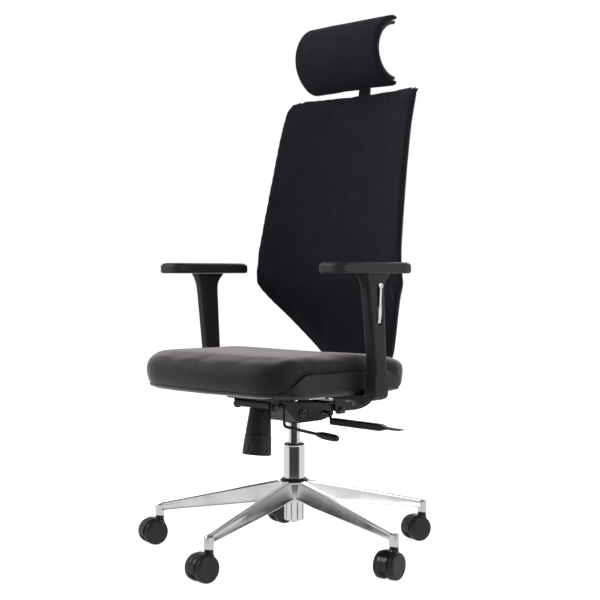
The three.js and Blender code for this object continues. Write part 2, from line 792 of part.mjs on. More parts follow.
// ---------------------------------------------------------------- arms, built for +X and mirrored
const postHalf = [7, 13]; // x, y of the inner post
const postTop = 600;
const sleeveFoot = [-38, 4]; // y of the sleeve at its foot
const armInner = ARM_X - ARM_THICKNESS / 2;
const armOuter = ARM_X + ARM_THICKNESS / 2;

function armBracket() {
  const elbow = outline([
    [115, 373.3, 2],
    [264, 373.3, 10],
    [armOuter, 381, 18],
    [armOuter, SLEEVE_FOOT - GAP],
    [armInner, SLEEVE_FOOT - GAP],
    [armInner, 404, 12],
    [252, PAN_UNDER - GAP, 6],
    [115, PAN_UNDER - GAP],
  ]);
  const post = box(
    [ARM_X - postHalf[0], ARM_X + postHalf[0]],
    [ARM_Y - postHalf[1], ARM_Y + postHalf[1]],
    [SLEEVE_FOOT - 5, postTop],
  );
  return join(along(elbow, ...sleeveFoot), post);
}

function armSleeve() {
  const side = outline([
    [sleeveFoot[0], SLEEVE_FOOT],
    [sleeveFoot[1], SLEEVE_FOOT],
    [-8, 628, 10],
    [12, SLEEVE_TOP],
    [-74, SLEEVE_TOP],
    [-62, 628, 10],
  ]);
  const room = box(
    [ARM_X - postHalf[0] - 0.5, ARM_X + postHalf[0] + 0.5],
    [ARM_Y - postHalf[1] - 0.5, ARM_Y + postHalf[1] + 0.5],
    [SLEEVE_FOOT - 1, 630],
  );
  const leverRoom = box([armOuter - 5.5, armOuter + 1], [-34, -16], [540, 634]);
  return cut(across(side, armInner, armOuter), room, leverRoom);
}

function armPad() {
  const half = PAD_WIDTH / 2;
  const front = PAD_CENTRE_Y - PAD_LENGTH / 2;
  const rear = PAD_CENTRE_Y + PAD_LENGTH / 2;
  const plan = outline([
    [PAD_CENTRE_X - half, front, 34],
    [PAD_CENTRE_X + half, front, 34],
    [PAD_CENTRE_X + half, PAD_CENTRE_Y, 60],
    [PAD_CENTRE_X + half, rear, 30],
    [PAD_CENTRE_X - half, rear, 30],
    [PAD_CENTRE_X - half, PAD_CENTRE_Y, 60],
  ]);
  return upright(plan, SLEEVE_TOP + GAP, PAD_TOP, 6);
}

// The clamp lever lies in a recess of the sleeve and pulls out from its foot.
const togglePivotZ = 628;
function armToggle() {
  const lever = outline([
    [armOuter - 4.5, togglePivotZ + 3, 1],
    [armOuter + 1.5, togglePivotZ + 3, 1],
    [armOuter + 3.5, 560, 4],
    [armOuter + 1.5, 545, 1],
    [armOuter - 1, 545, 1],
    [armOuter - 1.5, 600, 6],
    [armOuter - 4.5, togglePivotZ - 6, 2],
  ]);
  return along(lever, ARM_Y - 4.5, ARM_Y + 4.5);
}

for (const [side, flip] of [["left", (geometry) => geometry], ["right", mirrored]]) {
  add("arm_bracket_" + side, flip(armBracket()), plain(BLACK_PLASTIC, 0.5));
  add("arm_sleeve_" + side, flip(armSleeve()), plain(BLACK_PLASTIC, 0.45));
  add("arm_pad_" + side, flip(armPad()), plain(SOFT_PAD, 0.6));
  add("arm_toggle_" + side, flip(armToggle()), plain(CHROME, 0.1, 1));
}

// ---------------------------------------------------------------- back
// Depth of the back's middle, and width and depth of its edge, at heights up the back.
const backHeights = [BACK_FOOT, 460, 545, 600, 628, 700, 800, 900, 1000, BACK_TOP];
const backMiddle = [222, 212, 179, 161, 154, 157, 169, 184, 201, 222];
const backEdge = [221, 206, 149, 109, 94, 96, 114, 134, 156, 184];
const backHalfWidth = [100, 123, 182, 222, 242, 235, 228, 221, 215, 211];
const TOP_CORNER_DROP = 4; // the back's top corners are this much lower than its middle

function between(values, height) {
  const last = backHeights.length - 2;
  const i = Math.min(last, Math.max(0, backHeights.findLastIndex((mark) => mark <= height)));
  const share = (height - backHeights[i]) / (backHeights[i + 1] - backHeights[i]);
  return values[i] + (values[i + 1] - values[i]) * share;
}

// The back's front face, moved back by depth: flat in the middle, its wings curling forward.
function backFace(depth, inset) {
  return (u, v) => {
    const mark = backHeights[Math.round(v * (backHeights.length - 1))];
    const height = Math.min(BACK_TOP - inset, Math.max(BACK_FOOT + inset, mark));
    const half = between(backHalfWidth, height);
    const middle = between(backMiddle, height);
    const wing = middle - between(backEdge, height);
    const x = (half - inset) * (2 * u - 1);
    const curl = Math.pow(Math.abs(x) / half, WING_CURL);
    const drop = mark === BACK_TOP ? TOP_CORNER_DROP * curl : 0;
    return [x, middle - wing * curl + depth, height - drop];
  };
}
const columns = 12;
const rows = backHeights.length - 1;
add(
  "back_upholstery",
  sheet(columns, rows, backFace(0, 0), backFace(BACK_PADDING, 0)),
  plain(FABRIC, 0.8),
);

// The shell carries a flat channel behind it, in which the headrest stem slides.
const stemAxis = new THREE.Vector2(0.2, 0.98).normalize();
const stemFoot = new THREE.Vector2(215.5, 945);
function upStem(distance, aside = 0) {
  const point = stemFoot.clone().addScaledVector(stemAxis, distance);
  return [point.x + aside * stemAxis.y, point.y - aside * stemAxis.x];
}
function backShell() {
  const depth = BACK_PADDING + 1;
  const skin = sheet(columns, rows, backFace(depth, 4), backFace(depth + BACK_SHELL, 4));
  const channelSide = [upStem(15, -12), upStem(15, 10), upStem(130, 10), upStem(130, -12)];
  const channel = across(outline(channelSide), -30, 30);
  const play = 4.3; // half the slot's depth, for a stem 7 thick
  const slotSide = [upStem(-40, -play), upStem(-40, play), upStem(190, play), upStem(190, -play)];
  const slot = across(outline(slotSide), -18.6, 18.6);
  const room = sheet(columns, rows, backFace(-60, 0), backFace(depth + 1, 0));
  const socket = across(outline([[180, 560], [230, 560], [230, 648], [180, 648]]), -44, 44);
  const bar = across(band(barLine, 11 + 2 * GAP, 22), -35 - GAP, 35 + GAP);
  return cut(join(skin, cut(channel, room), cut(socket, room)), slot, bar);
}
add("back_shell", backShell(), plain(BLACK_PLASTIC, 0.5));

// ---------------------------------------------------------------- headrest
const stemLine = [
  upStem(0),
  upStem(90),
  upStem(165),
  [HEADREST_PIVOT[0] + 17, 1146],
  [HEADREST_PIVOT[0] + 6, 1162],
];
add(
  "headrest_stem",
  join(
    across(band(stemLine, 7, 16), -18, 18),
    barX(9, -18, 18, HEADREST_PIVOT),
    barX(4, -28, 28, HEADREST_PIVOT),
  ),
  plain(BLACK_PLASTIC, 0.45),
);

// A C-shaped strip about the headrest's centre, open to the rear.
function cStrip(outer, inner, sweep) {
  const [y, z] = HEADREST_CENTRE;
  const shape = new THREE.Shape();
  const [from, to] = [Math.PI - sweep, Math.PI + sweep];
  shape.absarc(y, z, outer, from, to, false);
  shape.absarc(y, z, inner, to, from, true);
  shape.closePath();
  return shape;
}
const innerSkin = HEADREST_RADIUS - HEADREST_PADDING;
const padStrip = cStrip(HEADREST_RADIUS, innerSkin, radians(88));
add(
  "headrest_pad",
  across(padStrip, -HEADREST_HALF_WIDTH, HEADREST_HALF_WIDTH, 0, 14),
  plain(FABRIC, 0.8),
);
function headrestShell() {
  const strip = cStrip(innerSkin - GAP, innerSkin - GAP - HEADREST_SHELL, radians(86));
  const half = HEADREST_HALF_WIDTH - 4;
  const [pivotY, pivotZ] = HEADREST_PIVOT;
  const ear = outline([
    [155, pivotZ - 14],
    [pivotY + 12, pivotZ - 12, 10],
    [pivotY + 12, pivotZ + 12, 10],
    [148, pivotZ + 18],
  ]);
  const ears = [-23, 23].map((x) => across(ear, x - 4, x + 4));
  const hole = barX(4 + GAP, -40, 40, HEADREST_PIVOT);
  return cut(join(across(strip, -half, half, 0, 14), ...ears), hole);
}
add("headrest_shell", headrestShell(), plain(BLACK_PLASTIC, 0.5));

export default chair;
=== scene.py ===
"""Swivel office chair: the visual model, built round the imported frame."""

import math

import bmesh
import bpy
from mathutils import Matrix, Vector, noise
from mathutils.kdtree import KDTree


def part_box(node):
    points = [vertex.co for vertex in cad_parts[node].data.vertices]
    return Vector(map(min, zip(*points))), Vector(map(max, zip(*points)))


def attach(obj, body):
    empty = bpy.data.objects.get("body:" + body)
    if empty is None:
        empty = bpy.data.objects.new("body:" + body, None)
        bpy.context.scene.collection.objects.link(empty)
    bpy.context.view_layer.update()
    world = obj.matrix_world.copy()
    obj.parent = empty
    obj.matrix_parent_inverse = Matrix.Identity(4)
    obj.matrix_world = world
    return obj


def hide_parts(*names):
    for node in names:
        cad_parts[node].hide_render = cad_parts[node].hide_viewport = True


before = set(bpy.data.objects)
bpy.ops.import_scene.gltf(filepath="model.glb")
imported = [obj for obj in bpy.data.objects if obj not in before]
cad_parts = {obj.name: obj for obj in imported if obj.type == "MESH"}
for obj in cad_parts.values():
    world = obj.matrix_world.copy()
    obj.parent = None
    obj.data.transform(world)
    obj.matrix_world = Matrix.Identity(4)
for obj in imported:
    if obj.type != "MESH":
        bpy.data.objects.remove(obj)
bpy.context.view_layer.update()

# ---------------------------------------------------------------- the chair's own frame
tube_low, tube_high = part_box("outer_column_tube")
COLUMN = (Vector(tube_low) + Vector(tube_high)) / 2
TAU = 2 * math.pi


def at(x, y, z):
    """Millimetres about the column's foot to metres in the frame."""
    return Vector((COLUMN.x + x / 1000, COLUMN.y + y / 1000, z / 1000))


def linked(name, data):
    """A new object holding the data, in the scene."""
    made = bpy.data.objects.new(name, data)
    bpy.context.collection.objects.link(made)
    return made


# ---------------------------------------------------------------- camera, floor and light
CAMERA_DISTANCE = 2.88
CAMERA_AZIMUTH = math.radians(45)
CAMERA_HEIGHT = 0.657
LENS = 73.4
YAW = math.radians(0.27)
PITCH = math.radians(1.31)

camera = linked("camera", bpy.data.cameras.new("camera"))
camera.data.lens = LENS
camera.data.sensor_width = 36
camera.data.clip_start = 0.05
camera.data.clip_end = 60
away = Vector((math.sin(CAMERA_AZIMUTH), -math.cos(CAMERA_AZIMUTH), 0))
camera.location = COLUMN * 1.0
camera.location.z = CAMERA_HEIGHT
camera.location += away * CAMERA_DISTANCE
look = Matrix.Rotation(-YAW, 3, "Z") @ (-away)
look.z = -math.tan(PITCH)
camera.rotation_mode = "QUATERNION"
camera.rotation_quaternion = look.to_track_quat("-Z", "Y")
bpy.context.scene.camera = camera


def area_light(name, place, target, size, power):
    data = bpy.data.lights.new(name, "AREA")
    data.shape = "RECTANGLE"
    data.size, data.size_y = size
    data.energy = power
    light = linked(name, data)
    light.location = place
    light.rotation_mode = "QUATERNION"
    light.rotation_quaternion = (Vector(target) - Vector(place)).to_track_quat("-Z", "Y")
    return light


area_light("key", (-2.2, -2.6, 2.9), (0, 0, 0.6), (2.2, 2.2), 60)
area_light("fill", (3.2, 0.4, 1.7), (0, 0, 0.5), (1.8, 2.4), 24)
area_light("top", (0.2, 0.3, 3.6), (0, 0, 0), (2.6, 2.6), 34).visible_glossy = False
area_light("rear", (-1.4, 2.9, 2.1), (0, 0, 0.7), (2.0, 1.6), 22)

DARK_SIDE = math.radians(45)  # the bearing of the studio's dark wall
DARK_EDGE, DARK_HEART = 0.42, 0.66  # cosines of the angle from it where the dark begins and is full
PANEL_LEVEL = 0.05
CEILING_LEVEL = 0.12
WALL_LEVEL = 0.62
LOW_WALL_LEVEL = 0.85
FLOOR_LEVEL = 0.8
FLOOR_GLOW = 0.35
FLOOR_SEEN = 0.45
FLOOR_HALF = 14


class Nodes:
    """A node tree and short ways to add to it; a value is a number or another node's output."""

    def __init__(self, owner):
        owner.use_nodes = True
        self.tree = owner.node_tree

    def link(self, source, target):
        self.tree.links.new(source, target)

    def node(self, kind, *values, sockets=None, **properties):
        made = self.tree.nodes.new(kind)
        for label, value in properties.items():
            setattr(made, label, value)
        named = [(made.inputs[label], value) for label, value in (sockets or {}).items()]
        for socket, value in [*zip(made.inputs, values), *named]:
            if isinstance(value, bpy.types.NodeSocket):
                self.link(value, socket)
            else:
                socket.default_value = value
        return made

    def math(self, operation, *values):
        return self.node("ShaderNodeMath", *values, operation=operation).outputs[0]

    def ramp(self, *values):
        """A value eased from low to high, to give to_low to to_high."""
        return self.node("ShaderNodeMapRange", *values, interpolation_type="SMOOTHSTEP").outputs["Result"]

    def towards_dark(self, place):
        """A place's X, Y and Z, and the cosine of its bearing from the dark side."""
        parts = self.node("ShaderNodeSeparateXYZ", place).outputs
        bearing = self.math("ARCTAN2", parts["Y"], parts["X"])
        return parts, self.math("COSINE", self.math("ADD", bearing, math.pi / 2 - DARK_SIDE))


def studio_world():
    """White walls with one dark side and a dark ceiling, so that metal has something to show."""
    world = bpy.data.worlds.new("studio")
    bpy.context.scene.world = world
    sky = Nodes(world)
    parts, bearing = sky.towards_dark(sky.node("ShaderNodeTexCoord").outputs["Generated"])
    wall, dark = (sky.ramp(parts["Z"], 0.16, 0.30, LOW_WALL_LEVEL, level) for level in (WALL_LEVEL, PANEL_LEVEL))
    panel = sky.ramp(bearing, DARK_EDGE, DARK_HEART, wall, dark)
    ceiling = sky.ramp(parts["Z"], 0.45, 0.8, 1.0, CEILING_LEVEL)
    seen = sky.node("ShaderNodeLightPath").outputs["Is Camera Ray"]
    background = sky.tree.nodes["Background"]
    sky.link(sky.math("MAXIMUM", sky.math("MINIMUM", panel, ceiling), seen), background.inputs["Strength"])
    background.inputs["Color"].default_value = (1.0, 1.0, 1.0, 1)


studio_world()
bpy.context.scene.view_settings.view_transform = "Standard"


# ---------------------------------------------------------------- materials
class Shader(Nodes):
    """A Principled material whose detail comes from nodes in object space."""

    def __init__(self, name, color, roughness, metallic=0.0, **sockets):
        self.material = bpy.data.materials.new(name)
        super().__init__(self.material)
        self.main = self.tree.nodes["Principled BSDF"]
        self.color, self.roughness = color, roughness
        own = {"Base Color": (*color, 1), "Roughness": roughness, "Metallic": metallic}
        for label, value in [*own.items(), *sockets.items()]:
            self.main.inputs[label.replace("_", " ")].default_value = value
        self.coordinates = self.node("ShaderNodeTexCoord").outputs["Object"]
        self.normal = None

    def stretched(self, scale):
        return self.node("ShaderNodeMapping", sockets={"Scale": scale, "Vector": self.coordinates}).outputs["Vector"]

    def noise(self, scale, detail=4.0, stretch=(1, 1, 1)):
        sockets = {"Scale": scale, "Detail": detail, "Vector": self.stretched(stretch)}
        return self.node("ShaderNodeTexNoise", sockets=sockets).outputs["Fac"]

    def cells(self, scale):
        sockets = {"Scale": scale, "Vector": self.stretched((1, 1, 1))}
        return self.node("ShaderNodeTexVoronoi", sockets=sockets).outputs["Distance"]

    def ribs(self, direction, pitch, uneven):
        """Threads that repeat every pitch metres along a direction, their spacing a little uneven."""
        across = Vector(direction).normalized() * (TAU / pitch)
        along = self.node("ShaderNodeVectorMath", self.coordinates, across, operation="DOT_PRODUCT")
        phase = self.math("ADD", along.outputs["Value"], self.math("MULTIPLY", uneven, 5.0))
        return self.math("MULTIPLY", self.math("ADD", self.math("SINE", phase), 1.0), 0.5)

    def ranged(self, value, low, high):
        """Noise rarely leaves 0.3 to 0.7, so that is spread over low to high."""
        return self.node("ShaderNodeMapRange", value, 0.3, 0.7, low, high).outputs["Result"]

    def vary_roughness(self, value, spread):
        low, high = max(0.02, self.roughness - spread), self.roughness + spread
        self.link(self.ranged(value, low, high), self.main.inputs["Roughness"])

    def vary_color(self, value, other):
        mix = self.node("ShaderNodeMix", data_type="RGBA")
        ends = {"A": self.color, "B": other}
        for socket in mix.inputs:
            if socket.type == "RGBA" and socket.name in ends:
                socket.default_value = (*ends[socket.name], 1)
        self.link(self.ranged(value, 0.0, 1.0), mix.inputs["Factor"])
        self.link(next(s for s in mix.outputs if s.type == "RGBA"), self.main.inputs["Base Color"])

    def bump(self, value, distance, strength):
        made = self.node("ShaderNodeBump", sockets={"Distance": distance, "Strength": strength, "Height": value})
        if self.normal:
            self.link(self.normal, made.inputs["Normal"])
        self.normal = made.outputs["Normal"]
        self.link(self.normal, self.main.inputs["Normal"])


def chrome_material():
    made = Shader("chrome", (0.80, 0.81, 0.83), 0.07, 1.0)
    made.vary_roughness(made.noise(35, 3), 0.035)
    made.bump(made.noise(900, 2, (1, 1, 0.06)), 0.00002, 0.25)
    return made.material


def aluminium_material():
    made = Shader("polished_aluminium", (0.80, 0.80, 0.81), 0.13, 1.0)
    made.vary_roughness(made.noise(22, 5), 0.06)
    made.vary_color(made.noise(9, 3), (0.70, 0.70, 0.72))
    made.bump(made.noise(480, 4), 0.00005, 0.35)
    made.bump(made.noise(30, 2), 0.0006, 0.12)
    return made.material


def steel_material(name, color, roughness):
    made = Shader(name, color, roughness, 1.0)
    made.vary_roughness(made.noise(60, 4), 0.08)
    made.bump(made.noise(1100, 3, (0.05, 1, 1)), 0.00003, 0.4)
    return made.material


def coated_material(name, color, roughness, grain, depth, lighter, specular):
    """Moulded plastic or powder coat: fine grain, uneven gloss, slight fading."""
    made = Shader(name, color, roughness, Specular_IOR_Level=specular)
    made.vary_roughness(made.noise(70, 5), 0.07)
    made.vary_color(made.noise(14, 5), lighter)
    made.bump(made.cells(grain), depth, 0.5)
    made.bump(made.noise(grain * 0.55, 3), depth, 0.35)
    return made.material


def woven_material(name, color, lighter, axes, pitch, roughness, sheen, tint):
    """A plain weave whose two threads cross along the given axes, with fuzz and slubs."""
    made = Shader(
        name, color, roughness, Sheen_Weight=sheen, Sheen_Roughness=0.35, Sheen_Tint=(*tint, 1), Specular_IOR_Level=0.22
    )
    uneven = made.noise(90, 3)
    warp, weft = (made.ribs(axis, pitch, uneven) for axis in axes)
    weave = made.math("MULTIPLY", warp, weft)
    made.vary_color(made.math("ADD", made.math("MULTIPLY", weave, 0.5), made.noise(26, 6)), lighter)
    made.vary_roughness(made.noise(300, 4), 0.08)
    made.bump(weave, 0.00022, 0.55)
    made.bump(made.noise(2600, 3), 0.0001, 0.3)
    made.bump(made.noise(34, 3), 0.0009, 0.3)
    return made.material


def grained_material(name, color, lighter, roughness):
    """Soft moulded polyurethane with a leather grain."""
    made = Shader(name, color, roughness, Specular_IOR_Level=0.4)
    made.vary_color(made.noise(18, 5), lighter)
    made.vary_roughness(made.noise(90, 4), 0.07)
    made.bump(made.cells(420), 0.00025, 0.45)
    made.bump(made.noise(900, 4), 0.0001, 0.4)
    return made.material


CHROME = chrome_material()
ALUMINIUM = aluminium_material()
BRIGHT_STEEL = steel_material("bright_steel", (0.55, 0.55, 0.56), 0.3)
DARK_STEEL = steel_material("dark_steel", (0.09, 0.09, 0.095), 0.34)
BRASS = steel_material("brass", (0.62, 0.44, 0.18), 0.32)
BLACK_STEEL = coated_material("black_steel", (0.010, 0.010, 0.011), 0.42, 1500, 0.00004, (0.019, 0.019, 0.020), 0.32)
BLACK_PLASTIC = coated_material(
    "black_plastic", (0.0080, 0.0077, 0.0092), 0.44, 1900, 0.00005, (0.015, 0.0145, 0.0168), 0.32
)
GREY_PLASTIC = coated_material(
    "grey_plastic", (0.0108, 0.0108, 0.0138), 0.40, 1500, 0.00006, (0.018, 0.018, 0.022), 0.34
)
CASTER_PLASTIC = coated_material(
    "caster_plastic", (0.0080, 0.0079, 0.0095), 0.20, 900, 0.00002, (0.012, 0.012, 0.014), 0.42
)
CASTER_TREAD = coated_material("caster_tread", (0.012, 0.012, 0.0125), 0.55, 700, 0.00008, (0.020, 0.020, 0.021), 0.3)
SOFT_PAD = grained_material("soft_pad", (0.0125, 0.0120, 0.0135), (0.021, 0.020, 0.022), 0.48)
ACROSS_AND_UP = ((1, 0.12, 0.05), (0.05, 0.25, 1))
SKEWED = ((1, 1, 1), (1, -1, -0.35))
BACK_FABRIC = woven_material(
    "back_fabric", (0.0044, 0.0030, 0.0068), (0.0098, 0.0071, 0.0138), ACROSS_AND_UP, 0.0013, 0.80, 0.10,
    (0.80, 0.72, 0.95),
)
SEAT_FABRIC = woven_material(
    "seat_fabric", (0.0068, 0.0052, 0.0082), (0.0130, 0.0102, 0.0145), SKEWED, 0.0013, 0.58, 0.95, (0.95, 0.89, 0.87)
)
THREAD = coated_material("thread", (0.008, 0.007, 0.009), 0.7, 2600, 0.0001, (0.016, 0.014, 0.017), 0.25)

floor_data = bpy.data.meshes.new("floor")
floor_corners = [(x * FLOOR_HALF, y * FLOOR_HALF, 0) for x, y in ((-1, -1), (1, -1), (1, 1), (-1, 1))]
floor_data.from_pydata(floor_corners, [], [(0, 1, 2, 3)])
floor = linked("floor", floor_data)


def floor_material():
    """Pale and softly lit; metal sees it fall off into the same darker panels as the walls."""
    pale = Shader("pale_floor", (0.90, 0.90, 0.90), 0.6)
    pale.vary_roughness(pale.noise(3, 2), 0.05)
    pale.bump(pale.noise(220, 2), 0.0001, 0.1)
    rays = pale.node("ShaderNodeLightPath").outputs
    glow = pale.math("ADD", pale.math("MULTIPLY", rays["Is Camera Ray"], FLOOR_SEEN), FLOOR_GLOW)
    pale.main.inputs["Emission Color"].default_value = (1, 1, 1, 1)
    pale.link(glow, pale.main.inputs["Emission Strength"])
    _, bearing = pale.towards_dark(pale.coordinates)
    reach = pale.node("ShaderNodeVectorMath", pale.coordinates, operation="LENGTH").outputs["Value"]
    far = pale.ramp(reach, 0.62, 0.90, FLOOR_LEVEL, PANEL_LEVEL)
    sector = pale.ramp(bearing, DARK_EDGE, DARK_HEART, FLOOR_LEVEL, far)
    mirrored = pale.node("ShaderNodeEmission", sockets={"Strength": sector})
    mix = pale.node("ShaderNodeMixShader", rays["Is Glossy Ray"], pale.main.outputs[0], mirrored.outputs[0])
    pale.link(mix.outputs[0], pale.tree.nodes["Material Output"].inputs["Surface"])
    return pale.material


floor_data.materials.append(floor_material())


# ---------------------------------------------------------------- mesh building
class Solid:
    """Vertices and faces of one piece, in millimetres about the column."""

    def __init__(self):
        self.points = []
        self.faces = []
        self.marks = []

    def add(self, points, faces, mark=0, move=None):
        start = len(self.points)
        self.points += [tuple(move @ Vector(p)) if move else tuple(p) for p in points]
        self.faces += [tuple(start + i for i in face) for face in faces]
        self.marks += [mark] * len(faces)
        return self

    def rings(self, rows, mark=0, move=None, ends=True):
        """Skins a list of closed rings, each as long as the next, and may close the first and the last."""
        count = len(rows[0])
        points = [p for row in rows for p in row]
        faces = []
        for below in range(0, (len(rows) - 1) * count, count):
            above = below + count
            for j in range(count):
                k = (j + 1) % count
                faces.append((below + j, below + k, above + k, above + j))
        if ends:
            faces.append(tuple(reversed(range(count))))
            faces.append(tuple(range(len(points) - count, len(points))))
        return self.add(points, faces, mark, move)

    def turned(self, profile, sides, mark=0, move=None):
        """A profile of (radius, z) about Z; a radius of 0 closes on the axis."""
        angles = [TAU * j / sides for j in range(sides)]
        rows = [[(r * math.cos(a), r * math.sin(a), z) for a in angles] for r, z in profile]
        return self.rings(rows, mark, move, ends=False)

    def prism(self, shape, axis, low, high, move=None):
        """A flat outline given depth along axis 0, 1 or 2."""

        def place(a, b, c):
            return {0: (c, a, b), 1: (a, c, b), 2: (a, b, c)}[axis]

        return self.rings([[place(a, b, c) for a, b in shape] for c in (low, high)], move=move)

    def closed_sheet(self, front, rear):
        """Skins two faces of the same rows and columns, joined round their edges."""
        self.rings([list(a) + list(reversed(b)) for a, b in zip(front, rear)], ends=False)
        count = len(front[0])
        for a, b in ((front[0], rear[0]), (front[-1], rear[-1])):
            self.add([*a, *b], [(j, j + 1, count + j + 1, count + j) for j in range(count - 1)])
        return self

    def sweep(self, path, section):
        """Carries a closed section of (across, up) points along a path of 3-D points."""
        path = [Vector(p) for p in path]
        rows, side = [], None
        for i, point in enumerate(path):
            along = (path[min(i + 1, len(path) - 1)] - path[max(i - 1, 0)]).normalized()
            if side is None:
                side = along.cross(Vector((0, 0, 1)))
                if side.length < 1e-3:
                    side = along.cross(Vector((0, 1, 0)))
            side = (side - along * side.dot(along)).normalized()
            rise = side.cross(along)
            rows.append([point + side * a + rise * b for a, b in section])
        return self.rings(rows)


def circle(radius, sides):
    return [(radius * math.cos(TAU * i / sides), radius * math.sin(TAU * i / sides)) for i in range(sides)]


def rounded_box(half_width, half_height, radius, steps=4):
    """A rounded rectangle as a section."""
    points = []
    for quarter, (sx, sy) in enumerate(((1, 1), (-1, 1), (-1, -1), (1, -1))):
        x, y = sx * (half_width - radius), sy * (half_height - radius)
        for i in range(steps + 1):
            angle = math.pi / 2 * (quarter + i / steps)
            points.append((x + radius * math.cos(angle), y + radius * math.sin(angle)))
    return points


def outline(corners, steps=6):
    """A closed outline through (a, b, radius) corners, rounded by the same rule as the frame's solids."""
    points = []
    count = len(corners)
    for i, corner in enumerate(corners):
        here = Vector(corner[:2])
        before = Vector(corners[i - 1][:2]) - here
        after = Vector(corners[(i + 1) % count][:2]) - here
        radius = corner[2] if len(corner) > 2 else 0
        reach = min(radius, 0.48 * before.length, 0.48 * after.length)
        if reach <= 0:
            points.append(tuple(here))
            continue
        start, end = here + before.normalized() * reach, here + after.normalized() * reach
        for k in range(steps + 1):
            t = k / steps
            points.append(tuple(start * (1 - t) ** 2 + here * (2 * t * (1 - t)) + end * t**2))
    return points


def spline(points, steps):
    """A smooth line through the points, with steps pieces between each two."""
    points = [Vector(p) for p in points]
    line = []
    for i in range(len(points) - 1):
        p1, p2 = points[i], points[i + 1]
        p0 = points[i - 1] if i else p1 * 2 - p2
        p3 = points[i + 2] if i + 2 < len(points) else p2 * 2 - p1
        bend, twist = p0 * 2 - p1 * 5 + p2 * 4 - p3, p1 * 3 - p0 - p2 * 3 + p3
        for t in (k / steps for k in range(steps)):
            line.append((p1 * 2 + (p2 - p0) * t + bend * t**2 + twist * t**3) / 2)
    return [*line, points[-1]]



def made_object(name, solid, materials, merge=0.01):
    """A Blender object from a Solid, its doubled points merged and its faces turned outward."""
    mesh = bpy.data.meshes.new(name)
    mesh.from_pydata([at(*p) for p in solid.points], [], solid.faces)
    for face, mark in zip(mesh.polygons, solid.marks):
        face.material_index = mark
    for material in materials:
        mesh.materials.append(material)
    work = bmesh.new()
    work.from_mesh(mesh)
    bmesh.ops.remove_doubles(work, verts=work.verts, dist=merge / 1000)
    bmesh.ops.dissolve_degenerate(work, edges=work.edges, dist=1e-6)
    bmesh.ops.recalc_face_normals(work, faces=work.faces)
    work.to_mesh(mesh)
    work.free()
    return linked(name, mesh)



def smoothstep(low, high, value):
    t = min(1.0, max(0.0, (value - low) / (high - low)))
    return t * t * (3 - 2 * t)


def smooth(piece, angle=35):
    piece.data.shade_smooth()
    piece.data.set_sharp_from_angle(angle=math.radians(angle))


def bevel(piece, width, angle=32, segments=3):
    """Rounds the sharp edges; width in millimetres."""
    made = piece.modifiers.new("round", "BEVEL")
    made.width = width / 1000
    made.segments = segments
    made.limit_method = "ANGLE"
    made.angle_limit = math.radians(angle)
    made.use_clamp_overlap = True


def subdivide(piece, levels=1):
    made = piece.modifiers.new("subdivide", "SUBSURF")
    made.levels = made.render_levels = levels


def apply_modifiers(piece):
    graph = bpy.context.evaluated_depsgraph_get()
    mesh = bpy.data.meshes.new_from_object(piece.evaluated_get(graph))
    old = piece.data
    piece.modifiers.clear()
    piece.data = mesh
    bpy.data.meshes.remove(old)


def true_normals(piece):
    """Shades by the larger faces, so that flats stay flat between their rounded edges."""
    made = piece.modifiers.new("flats", "WEIGHTED_NORMAL")
    made.mode = "FACE_AREA"
    made.weight = 50
    made.keep_sharp = True


def finish_piece(piece, body, replaced=(), angle=35):
    smooth(piece, angle)
    if angle < 70:
        true_normals(piece)
    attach(piece, body)
    if replaced:
        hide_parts(*replaced)
    return piece


def piece(name, solid, body, material, replaced=(), slot=None, angle=35):
    return finish_piece(made_object(name, solid, [material]), body, replaced, angle)


def block(name, solid, material, rounding, angle=32, segments=3):
    """A solid with its edges rounded."""
    made = made_object(name, solid, [material])
    bevel(made, rounding, angle, segments)
    apply_modifiers(made)
    return made


def union(first, *others):
    """Joins closed objects into one, and removes the rest."""
    for other in others:
        step = first.modifiers.new("join", "BOOLEAN")
        step.operation = "UNION"
        step.solver = "EXACT"
        step.use_self = True
        step.object = other
        apply_modifiers(first)
        bpy.data.objects.remove(other)
    first.data.validate()  # drops the degenerate faces that a union can leave
    return first


def carve(made, *solids):
    """Cuts closed shapes out of a piece."""
    for solid in solids:
        cutter = made_object("cutter", solid, [])
        step = made.modifiers.new("cut", "BOOLEAN")
        step.operation, step.solver, step.object = "DIFFERENCE", "EXACT", cutter
        apply_modifiers(made)
        bpy.data.objects.remove(cutter)


def rolled(gap, reach):
    """How full an edge rounded over reach is at a gap from its end, from 0 to 1."""
    return math.sqrt(max(0.0, 1 - (1 - min(1.0, gap / reach)) ** 2))


def corner_pull(*ends):
    """How far rounded corners pull an outline in, for each end's (radius, gap)."""
    pulls = [radius - math.sqrt(max(0.0, radius**2 - (radius - gap) ** 2)) for radius, gap in ends if gap < radius]
    return max([0.0, *pulls])


def crowded(k, count, power):
    """The k-th of count steps from -1 to 1, crowded towards both ends."""
    s = -1 + 2 * k / count
    return math.copysign(1 - (1 - abs(s)) ** power, s)


def about(axis, degrees):
    return Matrix.Rotation(math.radians(degrees), 4, axis)


def spin(degrees):
    return about("Z", degrees)


def shift(x, y, z):
    return Matrix.Translation((x, y, z))


# ---------------------------------------------------------------- base
FIRST_LEG = -77.6
STEM_CIRCLE = 338
LEGS = range(5)
SIDES = {"left": 1, "right": -1}  # the sign of X on each side
HEADINGS = (-94, -83, -106, -100, -104)


def leg_line(x, at_hub, at_tip, reach=STEM_CIRCLE):
    return at_hub + (at_tip - at_hub) * x / reach


